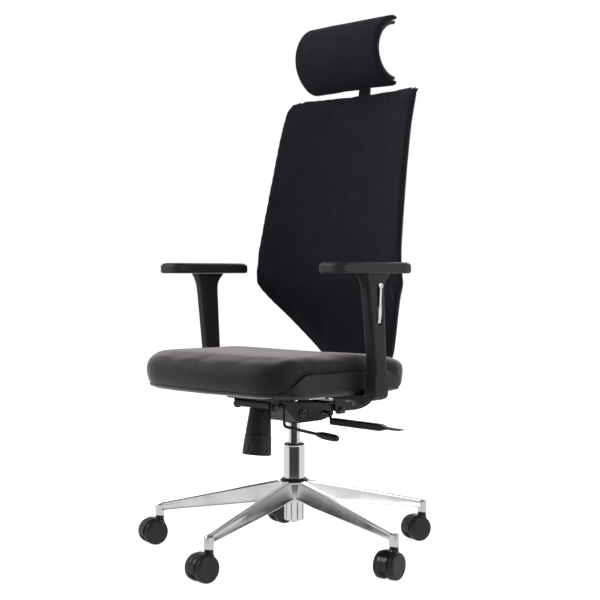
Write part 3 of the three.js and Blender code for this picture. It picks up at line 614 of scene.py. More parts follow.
def leg_section(x, shrink=0.0):
    """A tall blade: a raised ridge on top, sides that spread to the foot, rounded lower edges."""
    wedge_top = leg_line(x + 5, 176, 95, 365)
    top = min(leg_line(x, 174, 99, 332), wedge_top) - shrink
    foot = max(leg_line(x, 122, 78), wedge_top - 46) + shrink
    root = 5.5 * math.exp(-max(0, x - 24) / 13)

    def half(z):
        return 4.5 + 6.5 * (wedge_top - z) / 46 + root - shrink

    waist = (foot + top) / 2
    right = [
        (0, foot), (half(foot) - 2.4, foot), (half(foot) - 0.7, foot + 0.7), (half(foot), foot + 2.4),
        (half(foot + 3.6), foot + 3.6), (half(foot + 9) - 0.1, foot + 9), (half(waist) - 0.3, waist),
        (half(top - 9) - 0.2, top - 9), (half(top - 5), top - 5), (half(top - 3.6) - 0.2, top - 3.6),
        (half(top - 3.0) - 1.3, top - 3.0), (half(top) - 1.5, top - 1.2), (half(top) - 2.4, top - 0.2), (0, top),
    ]
    left = [(-y, z) for y, z in reversed(right[1:-1])]
    return [(x, y, z) for y, z in right + left]


def star_base():
    hub_profile = [
        (24.1, 118), (27.5, 118), (29.2, 118.8), (30, 121), (30, 159), (29.2, 163), (27.5, 164), (24.1, 164),
        (24.1, 118),
    ]
    socket_profile = [
        (5.8, 66), (9.4, 66), (10.6, 66.6), (11, 68), (11, 93), (9.5, 95), (0, 95.5), (0, 89), (5.8, 88), (5.8, 66),
    ]
    whole = made_object("star_base_finish", Solid().turned(hub_profile, 96), [ALUMINIUM])
    stations = [24.6, 28, 32, 37, 43, 52, 64, *range(80, 320, 20), 322, 332, 338]
    tip = [(341.5, 0.5), (343.6, 1.6), (344.4, 3.2)]
    for i in LEGS:
        turn = spin(FIRST_LEG + 72 * i)
        rows = [leg_section(x) for x in stations] + [leg_section(x, shrink) for x, shrink in tip]
        blade = made_object("blade", Solid().rings(rows, move=turn), [ALUMINIUM])
        socket = Solid().turned(socket_profile, 40, move=turn @ shift(STEM_CIRCLE, 0, 0))
        whole = union(whole, blade, made_object("socket", socket, [ALUMINIUM]))
    return finish_piece(whole, "base", ["star_base"], 30)


star_base()

TUBE_PROFILE = [
    (6, 73), (21.8, 73), (23, 73.6), (23.5, 75), (23.5, 116), (23.5, 163), (25, 165.5), (25, 247.2), (25.2, 248.2),
    (26.1, 248.8), (26.5, 249.6), (26.5, 250.4), (26.1, 251.3), (25.2, 252), (21, 252), (20.5, 251.4), (20.5, 77),
    (6, 77), (6, 73),
]
CYLINDER_PROFILE = [
    (5.3, 165), (13, 165), (14, 166), (14, 262), (13.7, 262.4), (13.7, 263.4), (14, 263.8), (14, 304), (13.4, 344),
    (12.6, 345), (4.3, 345), (4.3, 339.2), (0, 339.2), (0, 335), (5.3, 335), (5.3, 165),
]
RING_PROFILE = [
    (25.3, 164.3), (31.6, 164.3), (33, 165.2), (33, 167), (32.2, 168.4), (29.5, 171), (28, 172.3), (25.3, 172.3),
    (25.3, 164.3),
]
BUSH_PROFILE = [
    (14.3, 177), (20.2, 177), (20.2, 252.3), (22.8, 252.3), (23, 252.9), (22.4, 253.8), (21.6, 254), (14.9, 254),
    (14.3, 253.4), (14.3, 177),
]
for name, node, profile, sides, body, material, slot, angle in (
    ("hub_ring", "hub_ring", RING_PROFILE, 96, "base", BLACK_PLASTIC, "black_plastic", 50),
    ("column_tube", "outer_column_tube", TUBE_PROFILE, 96, "base", CHROME, "chrome", 35),
    ("guide_bush", "guide_bush", BUSH_PROFILE, 72, "base", BLACK_PLASTIC, "black_plastic", 35),
    ("gas_cylinder", "gas_cylinder", CYLINDER_PROFILE, 96, "mechanism", CHROME, "chrome", 35),
):
    piece(f"{name}_finish", Solid().turned(profile, sides), body, material, [node], slot, angle)


# ---------------------------------------------------------------- casters
AXLE = 29.42
TRAIL = 18


def on_axle(degrees=0):
    """A place on the wheels' axle, its Z turned about X."""
    return shift(TRAIL, 0, AXLE) @ about("X", degrees)


def hood_shell():
    """The hood's curved skin: a strip over the wheels, thicker at its middle rib."""
    section = [
        (-13.2, 31.6), (-12.9, 32.6), (-11.8, 33.1), (-4.2, 33.4), (-3.2, 32.9), (-2.4, 33.6), (2.4, 33.6), (3.2, 32.9),
        (4.2, 33.4), (11.8, 33.1), (12.9, 32.6), (13.2, 31.6), (12.6, 31.2), (5.2, 31.2), (5.2, 26), (-5.2, 26),
        (-5.2, 31.2), (-12.6, 31.2),
    ]
    rows = []
    for degrees in range(-8, 197, 5):
        a = math.radians(degrees)
        rows.append([(TRAIL + r * math.cos(a), y, AXLE + r * math.sin(a)) for y, r in section])
    return Solid().rings(rows)


def caster_housing():
    """A web between the wheels, the hood over their inner halves, and the neck above, about the column."""
    arc = [math.radians(a) for a in range(-20, 203, 6)]
    plate = [(29 * math.cos(a), 29 * math.sin(a)) for a in arc]
    neck_profile = [
        (6.1, 40), (6.1, 65.5), (8.8, 65.5), (9.8, 65), (10.4, 63.8), (10.4, 59.5), (9.8, 58.6), (9.8, 57.4),
        (11.4, 55), (12, 50), (12, 36), (6.1, 36), (6.1, 40),
    ]
    web = block("web", Solid().prism(plate, 1, -5.4, 5.4, move=on_axle()), CASTER_PLASTIC, 0.8)
    skin = made_object("skin", hood_shell(), [CASTER_PLASTIC])
    whole = union(web, skin, made_object("neck", Solid().turned(neck_profile, 40), [CASTER_PLASTIC]))
    room = Solid().turned([(0, 40), (6.1, 40), (6.1, 70), (0, 70)], 40)
    tunnel = Solid().turned([(0, -20), (3.4, -20), (3.4, 20), (0, 20)], 24, move=on_axle(90))
    sides = [Solid().turned([(0, 5.5), (31, 5.5), (31, 22), (0, 22)], 64, move=on_axle(turn)) for turn in (90, -90)]
    carve(whole, room, tunnel, *sides)
    return whole


def turned_to(made, place):
    """Moves a piece built about the column to a caster's place."""
    origin = Matrix.Translation(COLUMN.xy.to_3d())
    scaled = place.copy()
    scaled.translation = place.translation / 1000
    made.data.transform(origin @ scaled @ origin.inverted())


def wheel_solid():
    """One wheel about Z: a rounded tread, a stepped rim and a domed disc with a fine groove."""
    tread = [
        (3.5, 6.4), (9, 6.4), (9.6, 7), (22, 7), (23, 6.4), (27.6, 6.4), (28.9, 6.9), (29.7, 7.9), (30, 9.5),
        (30, 19.5), (29.8, 21.3),
    ]
    face = [
        (29.2, 22.9), (28.2, 24), (27.2, 24.5), (26.7, 24.5), (26.3, 24.0), (25.7, 24.0), (25.2, 24.6), (23.8, 25.2),
        (21, 25.4), (12, 25.0), (4, 24.7), (0, 24.6), (0, 20), (3.5, 20), (3.5, 6.4),
    ]
    return Solid().turned(tread, 72, 1).turned([tread[-1], *face], 72, 0)


def casters():
    wheel = made_object("wheel", wheel_solid(), [CASTER_PLASTIC, CASTER_TREAD], 0.02)
    housing = caster_housing()

    def copy_of(template, name, place, body, node, angle):
        made = linked(name, template.data.copy())
        turned_to(made, place)
        finish_piece(made, body, [node], angle)

    for i in LEGS:
        number = i + 1
        angle = math.radians(FIRST_LEG + 72 * i)
        place = shift(STEM_CIRCLE * math.cos(angle), STEM_CIRCLE * math.sin(angle), 0) @ spin(HEADINGS[i])
        copy_of(housing, f"caster_body_{number}", place, f"caster_{number}", f"caster_housing_{number}", 40)
        for side, turn in (("left", -90), ("right", 90)):
            body = f"wheel_{side}_{number}"
            copy_of(wheel, f"{body}_finish", place @ on_axle(turn), body, f"caster_{body}", 30)
    for template in (wheel, housing):
        bpy.data.objects.remove(template)


casters()


# ---------------------------------------------------------------- plain CAD solids that stay
def dress(names, material, rounding=0.0):
    """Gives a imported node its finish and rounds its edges, leaving its mesh alone."""
    for solid in (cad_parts[name] for name in names):
        if solid.material_slots:
            for held in solid.material_slots:
                held.material = material
        else:
            solid.data.materials.append(material)
        if rounding:
            bevel(solid, rounding, 40, 2)


for stem in ("caster_stem", "caster_axle"):
    dress([f"{stem}_{i + 1}" for i in LEGS], BRIGHT_STEEL)
dress(["thrust_bearing", "piston_rod", "main_pivot_shaft", "front_pivot_pin", "tension_screw"], BRIGHT_STEEL)
dress(["release_button"], BRASS)
dress(["tension_spring"], BLACK_STEEL)
dress(["mechanism_housing", "back_bracket", "seat_plate"], BLACK_STEEL, 0.7)


# ---------------------------------------------------------------- tilt mechanism
KNOB_PLACE = shift(0, -110, 346) @ about("X", -6.3)
RIBS = 13
DIMPLES = 10
KNOB_SIDES = 120


def knob_radius(z):
    if z > -50:
        return 25 + (29.5 - 25) * (-4 - z) / 46
    return 29.5 + 4 * (-50 - z) / 55


def tension_knob():
    """A cap ribbed round its upper half, flaring below to a smooth skirt with a row of finger dimples."""
    profile = [(19, -92), (19, -2), (24, -2), (24.6, -2.6)]
    step = 56 / RIBS
    for i in range(RIBS):
        z = -4 - i * step
        for share, depth in ((0.05, 0.0), (0.5, 0.0), (0.62, 1.3), (0.92, 1.3)):
            profile.append((knob_radius(z - share * step) - depth, z - share * step))
    profile += [(knob_radius(-61) - 0.9, -61), (knob_radius(-61.6), -61.8)]
    profile += [(knob_radius(z), z) for z in range(-64, -104, -2)]
    profile += [
        (33.4, -105), (33.1, -106.4), (32.2, -107.5), (31, -108), (12, -108), (10.5, -107), (10, -104), (6, -104),
        (6, -94), (19, -94), (19, -92),
    ]
    rows = []
    for r, z in profile:
        row = []
        for a in (TAU * j / KNOB_SIDES for j in range(KNOB_SIDES)):
            deep = 0.0
            if -104 < z < -63 and r > 25:
                nearest = (a * DIMPLES / TAU + 0.5) % 1 - 0.5
                arc = nearest * TAU / DIMPLES * r
                distance = math.hypot(arc / 5.2, (z + 92) / 6.0)
                if distance < 1:
                    deep = 1.9 * (1 - distance**2) ** 0.5
            row.append(((r - deep) * math.cos(a), (r - deep) * math.sin(a), z))
        rows.append(row)
    return Solid().rings(rows, move=KNOB_PLACE, ends=False)


piece("tension_knob_finish", tension_knob(), "tension_knob", BLACK_PLASTIC, ["tension_knob"], "black_plastic", angle=30)


def rounded_run(stations):
    """A bar along X: (x, centre y, centre z, half y, half z, corner) at each station."""
    rows = []
    for x, y, z, half_y, half_z, corner in stations:
        radius = min(corner, half_y * 0.98, half_z * 0.98)
        rows.append([(x, y + a, z + b) for a, b in rounded_box(half_y, half_z, radius, 5)])
    return rows


def height_lever():
    y = -104
    inner = spline([(0, 0, 355), (12, -30, 355), (32, -86, 357), (43, y + 1.5, 356), (54, y, 356)], 6)
    outer = spline(
        [
            (52, y, 356), (62, y, 356), (68, y, 355.6), (71.4, y, 352), (72, y, 346), (72, y, 320), (72.6, y, 313),
            (77, y, 308.4), (86, y, 307.2), (182, y, 300),
        ],
        6,
    )
    rod = made_object("height_lever_rod_finish", Solid().sweep(inner, circle(3, 16)), [BLACK_STEEL])
    rod = union(rod, made_object("outer", Solid().sweep(outer, circle(3.5, 20)), [BLACK_STEEL]))
    finish_piece(rod, "height_lever", ["height_lever_rod"])
    grip = [
        (175, 4.6, 4.2), (175.4, 5.2, 4.8), (178, 5.6, 5.2), (183, 6.6, 6.2), (190, 8.0, 7.4), (198, 8.8, 7.9),
        (208, 9.0, 8.0), (220, 9.0, 7.8), (228, 8.8, 7.4), (233, 8.2, 6.7), (235.6, 7.0, 5.6), (236.7, 5.4, 4.2),
        (237, 3.6, 2.6),
    ]
    rows = rounded_run([(x, y, 300.3 - (x - 175) * 0.065, half_y, half_z, 8) for x, half_y, half_z in grip])
    replaced = ["height_lever_grip"]
    piece("height_lever_grip_finish", Solid().rings(rows), "height_lever", BLACK_PLASTIC, replaced, "black_plastic", 60)


height_lever()


def tilt_lever():
    y = 44
    bend = [
        (50.5, y, 328), (62, y, 328), (69, y, 327.6), (72.6, y, 325), (75, y, 319), (77.4, y, 313.6), (82, y, 311),
        (92, y, 310.6),
    ]
    rod = Solid().sweep(spline(bend, 6), circle(3.5, 20))
    blade = [
        (79.6, 303, 313.6, 6.4, 2.4), (80.4, 301.4, 315.2, 8.0, 3.2), (82.5, 300.4, 316, 8.9, 3.4),
        (120, 300, 315.8, 9, 3.4), (180, 299.4, 315.2, 9, 3.4), (226, 299, 314.8, 9, 3.4), (233, 299.2, 314.4, 9, 3.4),
        (237, 300, 313.4, 9, 3.2), (241, 301.8, 311.6, 9, 2.8), (245, 303.4, 310.2, 9, 2.3),
        (252, 304.4, 309.2, 9, 1.9), (270, 304.2, 308.2, 9, 1.7), (284, 304.4, 308.2, 8.8, 1.7), (291, 304.9, 308.4, 8.2, 1.6),
        (294, 305.4, 308.4, 6.6, 1.4), (295, 306.0, 308.0, 4.8, 0.9),
    ]
    stations = [(x, y, (top + foot) / 2, half, (top - foot) / 2, corner) for x, foot, top, half, corner in blade]
    lever = made_object("tilt_lever_finish", Solid().rings(rounded_run(stations)), [BLACK_PLASTIC])
    lever = union(lever, made_object("rod", rod, [BLACK_PLASTIC]))
    finish_piece(lever, "tilt_lever", ["tilt_lever"], 40)


tilt_lever()


def bolt_head(solid, place, radius, height):
    """A socket-head screw whose washer lies on the plane z = 0 of its place."""
    r, socket = radius, radius * 0.48
    washer = [(0, 0.05), (r * 1.45, 0.05), (r * 1.5, 0.3), (r * 1.5, 0.9), (r * 1.42, 1.2), (r, 1.2), (0, 1.2)]
    head = [
        (0, 1.2), (r, 1.2), (r, height - 0.6), (r - 0.2, height - 0.2), (r - 0.7, height), (r * 0.52, height),
        (socket, height - 0.4), (socket, 2.0), (0, 1.9),
    ]
    for profile in (washer, head):
        solid.turned(profile, 36, move=place)


def facing_x(x, y, z, sign=1):
    return shift(x, y, z) @ about("Y", sign * 90)


def facing_down(x, y, z):
    return shift(x, y, z) @ about("X", 180)


def pivot_ends():
    """Screw heads and washers on the pivots, on both sides."""
    fixed, seat, back = Solid(), Solid(), Solid()
    for sign in SIDES.values():
        bolt_head(fixed, facing_x(sign * 58.1, -30, 332, sign), 6.4, 4.6)
        bolt_head(seat, facing_x(sign * 67.1, -125, 352, sign), 4.6, 3)
        bolt_head(back, facing_x(sign * 67.1, 95, 330, sign), 4.8, 3.2)
        for y in (-6, 20):
            bolt_head(fixed, facing_x(sign * 56.1, y, 330, sign), 2.6, 2.4)
    for x, y in ((-24, 128), (24, 128), (-24, 142), (24, 142)):
        bolt_head(back, facing_down(x, y, 321.0), 4.4, 4.2)
    for name, solid, body in (
        ("pivot_screws", fixed, "mechanism"), ("front_pin_ends", seat, "mechanism"), ("link_pin_ends", back, "back"),
    ):
        piece(f"{name}_finish", solid, body, DARK_STEEL, slot="black_steel")


pivot_ends()


def plate_screws():
    """Screws that hold the seat plate and the arm brackets to the pan."""
    solid = Solid()
    for x in (-70, 70):
        for y in (-112, -20, 90):
            bolt_head(solid, facing_down(x, y, 381.6), 4.4, 4)
    for sign in SIDES.values():
        for x, y in ((132, -27), (132, -7), (168, -27), (168, -7)):
            bolt_head(solid, facing_down(sign * x, y, 373.2), 4.6, 4)
    piece("seat_screws_finish", solid, "seat", DARK_STEEL, slot="black_steel")


plate_screws()

def in_middle(line):
    """A line of (y, z) points on the chair's middle plane."""
    return [(0, y, z) for y, z in line]


BAR_LINE = [(118, 326.7), (195, 327), (240, 345), (262, 390), (262, 440), (245, 500), (221, 570), (206, 640)]


def back_bar():
    """A flat bar, ribbed down its outer face, from under the bracket up to the back's socket."""
    section = [
        (-35, 3.4), (-35, -3.4), (-34.4, -4.7), (-33, -5.4), (-14, -5.4), (-12.6, -4.2), (12.6, -4.2), (14, -5.4),
        (33, -5.4), (34.4, -4.7), (35, -3.4), (35, 3.4), (34.4, 4.8), (33, 5.4), (17, 5.4), (-17, 5.4), (-33, 5.4),
        (-34.4, 4.8),
    ]
    solid = Solid().sweep(in_middle(spline(BAR_LINE, 10)), section)
    piece("back_bar_finish", solid, "back", BLACK_PLASTIC, ["back_bar"], "black_plastic", 30)


back_bar()


# ---------------------------------------------------------------- arms
ARM_X, PAD_X = 274, 267


def side_of(solid, sign):
    """A solid made for the left side, mirrored for the right."""
    if sign < 0:
        solid.points = [(-x, y, z) for x, y, z in solid.points]
    return solid


def arm_bracket(side, sign):
    elbow = outline(
        [
            (115, 373.3, 3), (264, 373.3, 10), (288, 381, 18), (288, 434.2, 0.5), (260, 434.2, 0.5), (260, 404, 12),
            (252, 385.7, 6), (115, 385.7, 2),
        ],
        8,
    )
    bracket = side_of(Solid().prism(elbow, 1, -38, 4), sign)
    made = block(f"arm_bracket_{side}_finish", bracket, BLACK_PLASTIC, 6.2, 40, 5)
    levels = [(429.5, 7, 13), (599, 7, 13), (599.7, 7, 13), (600, 6, 12)]
    rows = [[(ARM_X + a, -25 + b, z) for a, b in rounded_box(width, depth, 2)] for z, width, depth in levels]
    made = union(made, made_object("post", side_of(Solid().rings(rows), sign), [BLACK_PLASTIC]))
    finish_piece(made, "seat", [f"arm_bracket_{side}"], 30)


def arm_sleeve(side, sign):
    """The upright, its section a rounded box that flares lengthwise into the pad's seat."""
    spans = [
        (434.5, -37.4, 3.4, 13.4, 8), (435.3, -38, 4, 14, 9), (470, -43, 2.2, 14, 9), (540, -51, -1.6, 14, 9),
        (600, -57.8, -5.0, 14, 9), (618, -60.4, -5.6, 14, 9), (628, -62.6, -4.4, 14, 9), (636, -65.4, -1.0, 14.2, 9),
        (643, -68.6, 4.0, 14.8, 9), (648.5, -71.6, 9.0, 15.6, 9), (653.5, -74, 12, 16.5, 9),
    ]
    rows = []
    for z, front, rear, half_x, corner in spans:
        section = rounded_box(half_x, (rear - front) / 2, corner, 6)
        rows.append([(ARM_X + a, (front + rear) / 2 + b, z) for a, b in section])
    made = made_object(f"arm_sleeve_{side}_finish", side_of(Solid().rings(rows), sign), [BLACK_PLASTIC])
    hollow = Solid().prism(rounded_box(7.5, 13.5, 2), 2, 430, 630, move=shift(ARM_X, -25, 0))
    slot = Solid().prism([(y - 25, z + 587) for y, z in rounded_box(8.5, 46, 8.4, 6)], 0, 282.6, 292)
    carve(made, side_of(hollow, sign), side_of(slot, sign))
    finish_piece(made, f"arm_{side}", [f"arm_sleeve_{side}"], 35)


def arm_pad(side, sign):
    """A soft pad: waisted plan, domed edges and a shallow dish on top."""
    half, front, middle_y, rear = 40, -169, -47, 75
    reach = rear - middle_y
    low, high = PAD_X - half, PAD_X + half
    plan = outline(
        [
            (low, front, 34), (high, front, 34), (high, middle_y, 60), (high, rear, 30), (low, rear, 30),
            (low, middle_y, 60),
        ],
        9,
    )
    middle = Vector((PAD_X, middle_y))

    def ring(z, inset, dish=0.0):
        row = []
        for away in (Vector(p) - middle for p in plan):
            scale_x = max(0.0, (half - inset) / half)
            scale_y = max(0.0, (reach - inset) / reach)
            x, y = middle.x + away.x * scale_x, middle.y + away.y * scale_y
            row.append((x, y, z - dish * (1 - ((y - middle_y) / reach) ** 2)))
        return row

    levels = [
        (653.8, 26), (653.8, 5), (654.6, 2.4), (656.6, 0.6), (659.4, 0), (664.2, 0), (664.8, 0.5), (665.4, 0), (670, 0),
        (673.4, 1.0), (676, 3.0), (677.9, 6.2), (678.8, 10.5), (679, 16, 0.4), (679, 24, 1.2), (679, 32, 1.8),
        (679, 38, 2.1),
    ]
    solid = side_of(Solid().rings([ring(*level) for level in levels]), sign)
    made = made_object(f"arm_pad_{side}_finish", solid, [SOFT_PAD])
    finish_piece(made, f"arm_{side}", [f"arm_pad_{side}"], 50)


def arm_toggle(side, sign):
    """A polished clamp lever on a round pivot, lying in the sleeve's recess."""
    lever = outline(
        [
            (283.6, 632, 1.5), (289.4, 632, 1.5), (290.4, 600, 10), (291.5, 560, 5), (289.6, 545.4, 1.2),
            (287.2, 545, 1), (286.4, 580, 10), (286.2, 604, 6), (283.6, 618, 3),
        ],
        6,
    )
    made = made_object(f"arm_toggle_{side}_finish", side_of(Solid().prism(lever, 1, -29.5, -20.5), sign), [CHROME])
    bevel(made, 1.1, 40, 3)
    step = made.modifiers.new("fine", "SUBSURF")
    step.subdivision_type = "SIMPLE"
    step.levels = 2
    apply_modifiers(made)
    for vertex in made.data.vertices:  # a slim shank that leans back to its pivot, and a fuller thumb end
        z = vertex.co.z * 1000
        width = 1 - 0.34 * smoothstep(572, 592, z)
        lean = 3.4 * (z - 588) / 44
        middle = COLUMN.y - 0.025
        vertex.co.y = middle + (vertex.co.y - middle) * width + lean / 1000
    button = [
        (0, 0), (6.8, 0), (7.2, 0.4), (7.2, 5.4), (6.6, 6.6), (5.4, 7.2), (3.6, 7.3), (3.2, 6.6), (0, 6.4),
    ]
    boss = Solid().turned(button, 48, move=facing_x(283.4, -22.6, 627))
    made = union(made, made_object("boss", side_of(boss, sign), [CHROME]))
    finish_piece(made, f"toggle_{side}", [f"arm_toggle_{side}"], 35)


for hand, hand_sign in SIDES.items():
    arm_bracket(hand, hand_sign)
    arm_sleeve(hand, hand_sign)
    arm_pad(hand, hand_sign)
    arm_toggle(hand, hand_sign)


# ---------------------------------------------------------------- soft pieces


def lumps(x, y, z, size, seed=0.0):
    """Smooth unevenness between -1 and 1; size is in millimetres."""
    return noise.noise(Vector((x / size + seed, y / size - seed, z / size + 2 * seed)))


SETTLING_FRAMES = 20
SEAM_LIFT = 0.1  # how far a cord stands above the foot of its groove


def puffed(made, voxel, pressure, cap):
    """Swells a closed mesh by cloth simulation under pressure, and keeps every point within cap of its start."""
    remesh = made.modifiers.new("even", "REMESH")
    remesh.mode = "VOXEL"
    remesh.voxel_size = voxel / 1000
    remesh.use_smooth_shade = True
    apply_modifiers(made)
    start = [v.co.copy() for v in made.data.vertices]
    cloth = made.modifiers.new("cloth", "CLOTH")
    cloth.settings.quality = 4
    cloth.settings.mass = 0.25
    cloth.settings.tension_stiffness = cloth.settings.compression_stiffness = 25
    cloth.settings.shear_stiffness = 12
    cloth.settings.bending_stiffness = 1.2
    cloth.settings.use_pressure = True
    cloth.settings.uniform_pressure_force = pressure
    cloth.settings.effector_weights.gravity = 0
    cloth.point_cache.frame_start = 1
    cloth.point_cache.frame_end = SETTLING_FRAMES
    scene = bpy.context.scene
    for number in range(1, SETTLING_FRAMES + 1):
        scene.frame_set(number)
    apply_modifiers(made)
    scene.frame_set(1)
    for vertex, old in zip(made.data.vertices, start):
        moved = vertex.co - old
        if moved.length > cap / 1000:
            vertex.co = old + moved.normalized() * (cap / 1000)


def smoothed(made, times):
    step = made.modifiers.new("relax", "SMOOTH")
    step.factor, step.iterations = 0.5, times
    apply_modifiers(made)


def on_surface(target, x, y, z):
    """The nearest point of a piece to a place in millimetres, and the way out of it, both in metres."""
    _, spot, normal, _ = target.closest_point_on_mesh(at(x, y, z))
    return spot, normal


def seam(target, name, line, body, material, slot, groove=2.2, depth=1.1, cord=0.75):
    """Presses a groove into a soft piece along a line and lays a fine sewn cord in it."""
    spots = [on_surface(target, *p) for p in line]
    from_line = nearest_distance([spot for spot, _ in spots])
    for vertex in target.data.vertices:
        distance = from_line(vertex.co) * 1000
        if distance < 3 * groove:
            vertex.co -= vertex.normal * (depth / 1000) * math.exp(-((distance / groove) ** 2))
    path = []
    for spot, normal in spots:
        p = spot + normal * ((SEAM_LIFT - depth + cord * 0.5) / 1000)
        path.append(((p.x - COLUMN.x) * 1000, (p.y - COLUMN.y) * 1000, p.z * 1000))
    piece(name, Solid().sweep(path, circle(cord, 8)), body, material, slot=slot, angle=60)


def nearest_distance(points):
    """A function giving the distance from a place to a chain of points, in metres."""
    dense = []
    for a, b in zip(points, points[1:]):
        steps = max(1, int((b - a).length / 0.002))
        dense += [a.lerp(b, k / steps) for k in range(steps)]
    dense.append(points[-1])
    tree = KDTree(len(dense))
    for i, p in enumerate(dense):
        tree.insert(p, i)
    tree.balance()
    return lambda place: tree.find(place)[2]


# ---------------------------------------------------------------- seat
def seat_plan():
    half, front, rear, corner = 240, -304, 165, 84
    corners = [
        (-half, front + 12, corner), (0, front - 4, 150), (half, front + 12, corner), (half, rear, corner),
        (-half, rear, corner),
    ]
    return outline(corners, 14)


def even_loop(points, count):
    """The same closed line in count even steps, starting from its rearmost middle."""
    points = [Vector(p) for p in points]
    lengths = [0.0]
    for a, b in zip(points, points[1:] + points[:1]):
        lengths.append(lengths[-1] + (b - a).length)
    total = lengths[-1]
    out, k = [], 0
    for i in range(count):
        want = total * i / count
        while lengths[k + 1] < want:
            k += 1
        share = (want - lengths[k]) / max(1e-9, lengths[k + 1] - lengths[k])
        out.append(points[k].lerp(points[(k + 1) % len(points)], share))
    return out


SEAT_MIDDLE = Vector((0, -70))
PLAN_STEPS = 160
PLAN = even_loop(seat_plan(), PLAN_STEPS)
PLAN_NORMALS = []
for i, here in enumerate(PLAN):
    along = PLAN[(i + 1) % PLAN_STEPS] - PLAN[i - 1]
    PLAN_NORMALS.append(Vector((along.y, -along.x)).normalized())


def plan_at(i, inset):
    """The seat's outline moved inwards."""
    return PLAN[i] - PLAN_NORMALS[i] * inset


def towards_middle(row, share, z=None):
    """A ring of the seat drawn in to a share of its size, level at z if that is given."""
    middle = SEAT_MIDDLE.y
    return [(x * share, middle + (y - middle) * share, height if z is None else z) for x, y, height in row]


def pan_rim(y):
    """The height of the pan's edge: nearly level at the sides, swept down in front and rounded off behind."""
    front = 402 + (440 - 402) * smoothstep(-262, -196, y) ** 0.8 - 3.5 * smoothstep(-150, 40, y)
    share = min(1.0, max(0.0, (y - 56) / 40))
    return 392.5 + (front - 392.5) * math.sqrt(1 - share**2)


def cushion_top(x, y):
    """The height of the seat's upper face: crowned, dished for the sitter, and falling away in front."""
    across = abs(x) / 240
    dish = 6.0 * math.exp(-((x / 135) ** 2) - ((y + 20) / 120) ** 2)
    front_fall = 9 * smoothstep(-215, -300, y) ** 1.4
    rear_fall = 21 * max(0.0, (y + 20) / 185) ** 1.25
    crown = 3.0 * (1 - across**2)
    return 470 + crown - dish - front_fall - rear_fall + 0.5 * lumps(x, y, 0, 110, 3.1)


def side_inset(z):
    """How far the cushion's side has rolled in at a height: a full round above, a tighter one below."""
    if z > 434:
        return 27 * (1 - math.sqrt(max(0.0, 1 - ((z - 434) / 38) ** 2)))
    return 20 * (1 - math.sqrt(max(0.0, 1 - ((434 - z) / 43) ** 2)))


def seat_cushion():
    levels = [(392.6, 120), (392.4, 60), (392.4, 34)]
    heights = (
        392.8, 394, 396, 399, 403, 408, 414, 421, 428, 434, 440, 446, 451, 456, 460, 463.5, 466.4, 468.6, 470.2, 471.3,
    )
    levels += [(z, side_inset(z)) for z in heights]
    rows = []
    for z, inset in levels:
        row = []
        for i in range(PLAN_STEPS):
            x0, y0 = PLAN[i]
            walled = smoothstep(-262, -205, y0) * smoothstep(98, 84, y0)
            rim = pan_rim(y0)
            step = walled * smoothstep(rim + 5.0, rim + 0.5, z)
            rise = (cushion_top(x0, y0) - 470) * smoothstep(440, 471, z)
            ends = 4.0 * smoothstep(-262, -280, y0) + 6.0 * smoothstep(100, 125, y0) * smoothstep(110, 150, abs(x0))
            hang = -ends * smoothstep(402, 394, z) * smoothstep(40, 26, inset)
            sag = 1.2 * lumps(x0, y0, z, 95, 1.7) * smoothstep(400, 430, z)
            squarer = 1 - 0.5 * smoothstep(100, 125, y0) * smoothstep(434, 420, z) * smoothstep(30, 21, inset)
            p = plan_at(i, max(inset * squarer, 7.2 * step) + 0.9)
            row.append((p.x + PLAN_NORMALS[i].x * sag, p.y + PLAN_NORMALS[i].y * sag, z + rise + hang))
        rows.append(row)
    edge = rows[-1]
    for share in (0.93, 0.84, 0.72, 0.58, 0.42, 0.26, 0.1):
        row = []
        for x, y, z in edge:
            px, py = x * share, SEAT_MIDDLE.y + (y - SEAT_MIDDLE.y) * share
            blend = smoothstep(1.0, 0.84, share)
            row.append((px, py, z + (cushion_top(px, py) + 1.6 - z) * blend))
        rows.append(row)
    bottom = [towards_middle(rows[0], share, 392.6) for share in (0.3, 0.7)]
    made = made_object("seat_cushion_finish", Solid().rings(bottom + rows), [SEAT_FABRIC])
    puffed(made, 6, 2.6, 4)
    smoothed(made, 12)
    for vertex in made.data.vertices:  # the underside lies on the pan's floor, and hangs past its two ends
        y = vertex.co.y - COLUMN.y
        low = 388.2 if y < -0.262 else 386.4 if y > 0.136 else 391.6
        vertex.co.z = max(vertex.co.z, low / 1000)
    subdivide(made, 1)
    apply_modifiers(made)
    made.data.shade_smooth()
    line = [(*plan_at(i, 9), 398.5) for i in range(PLAN_STEPS) if PLAN[i].y < -236]
    seam(made, "seat_front_seam", line, "seat", THREAD, "seat_fabric", groove=2.0, depth=0.9, cord=0.7)
    finish_piece(made, "seat", ["seat_cushion"], 80)


seat_cushion()


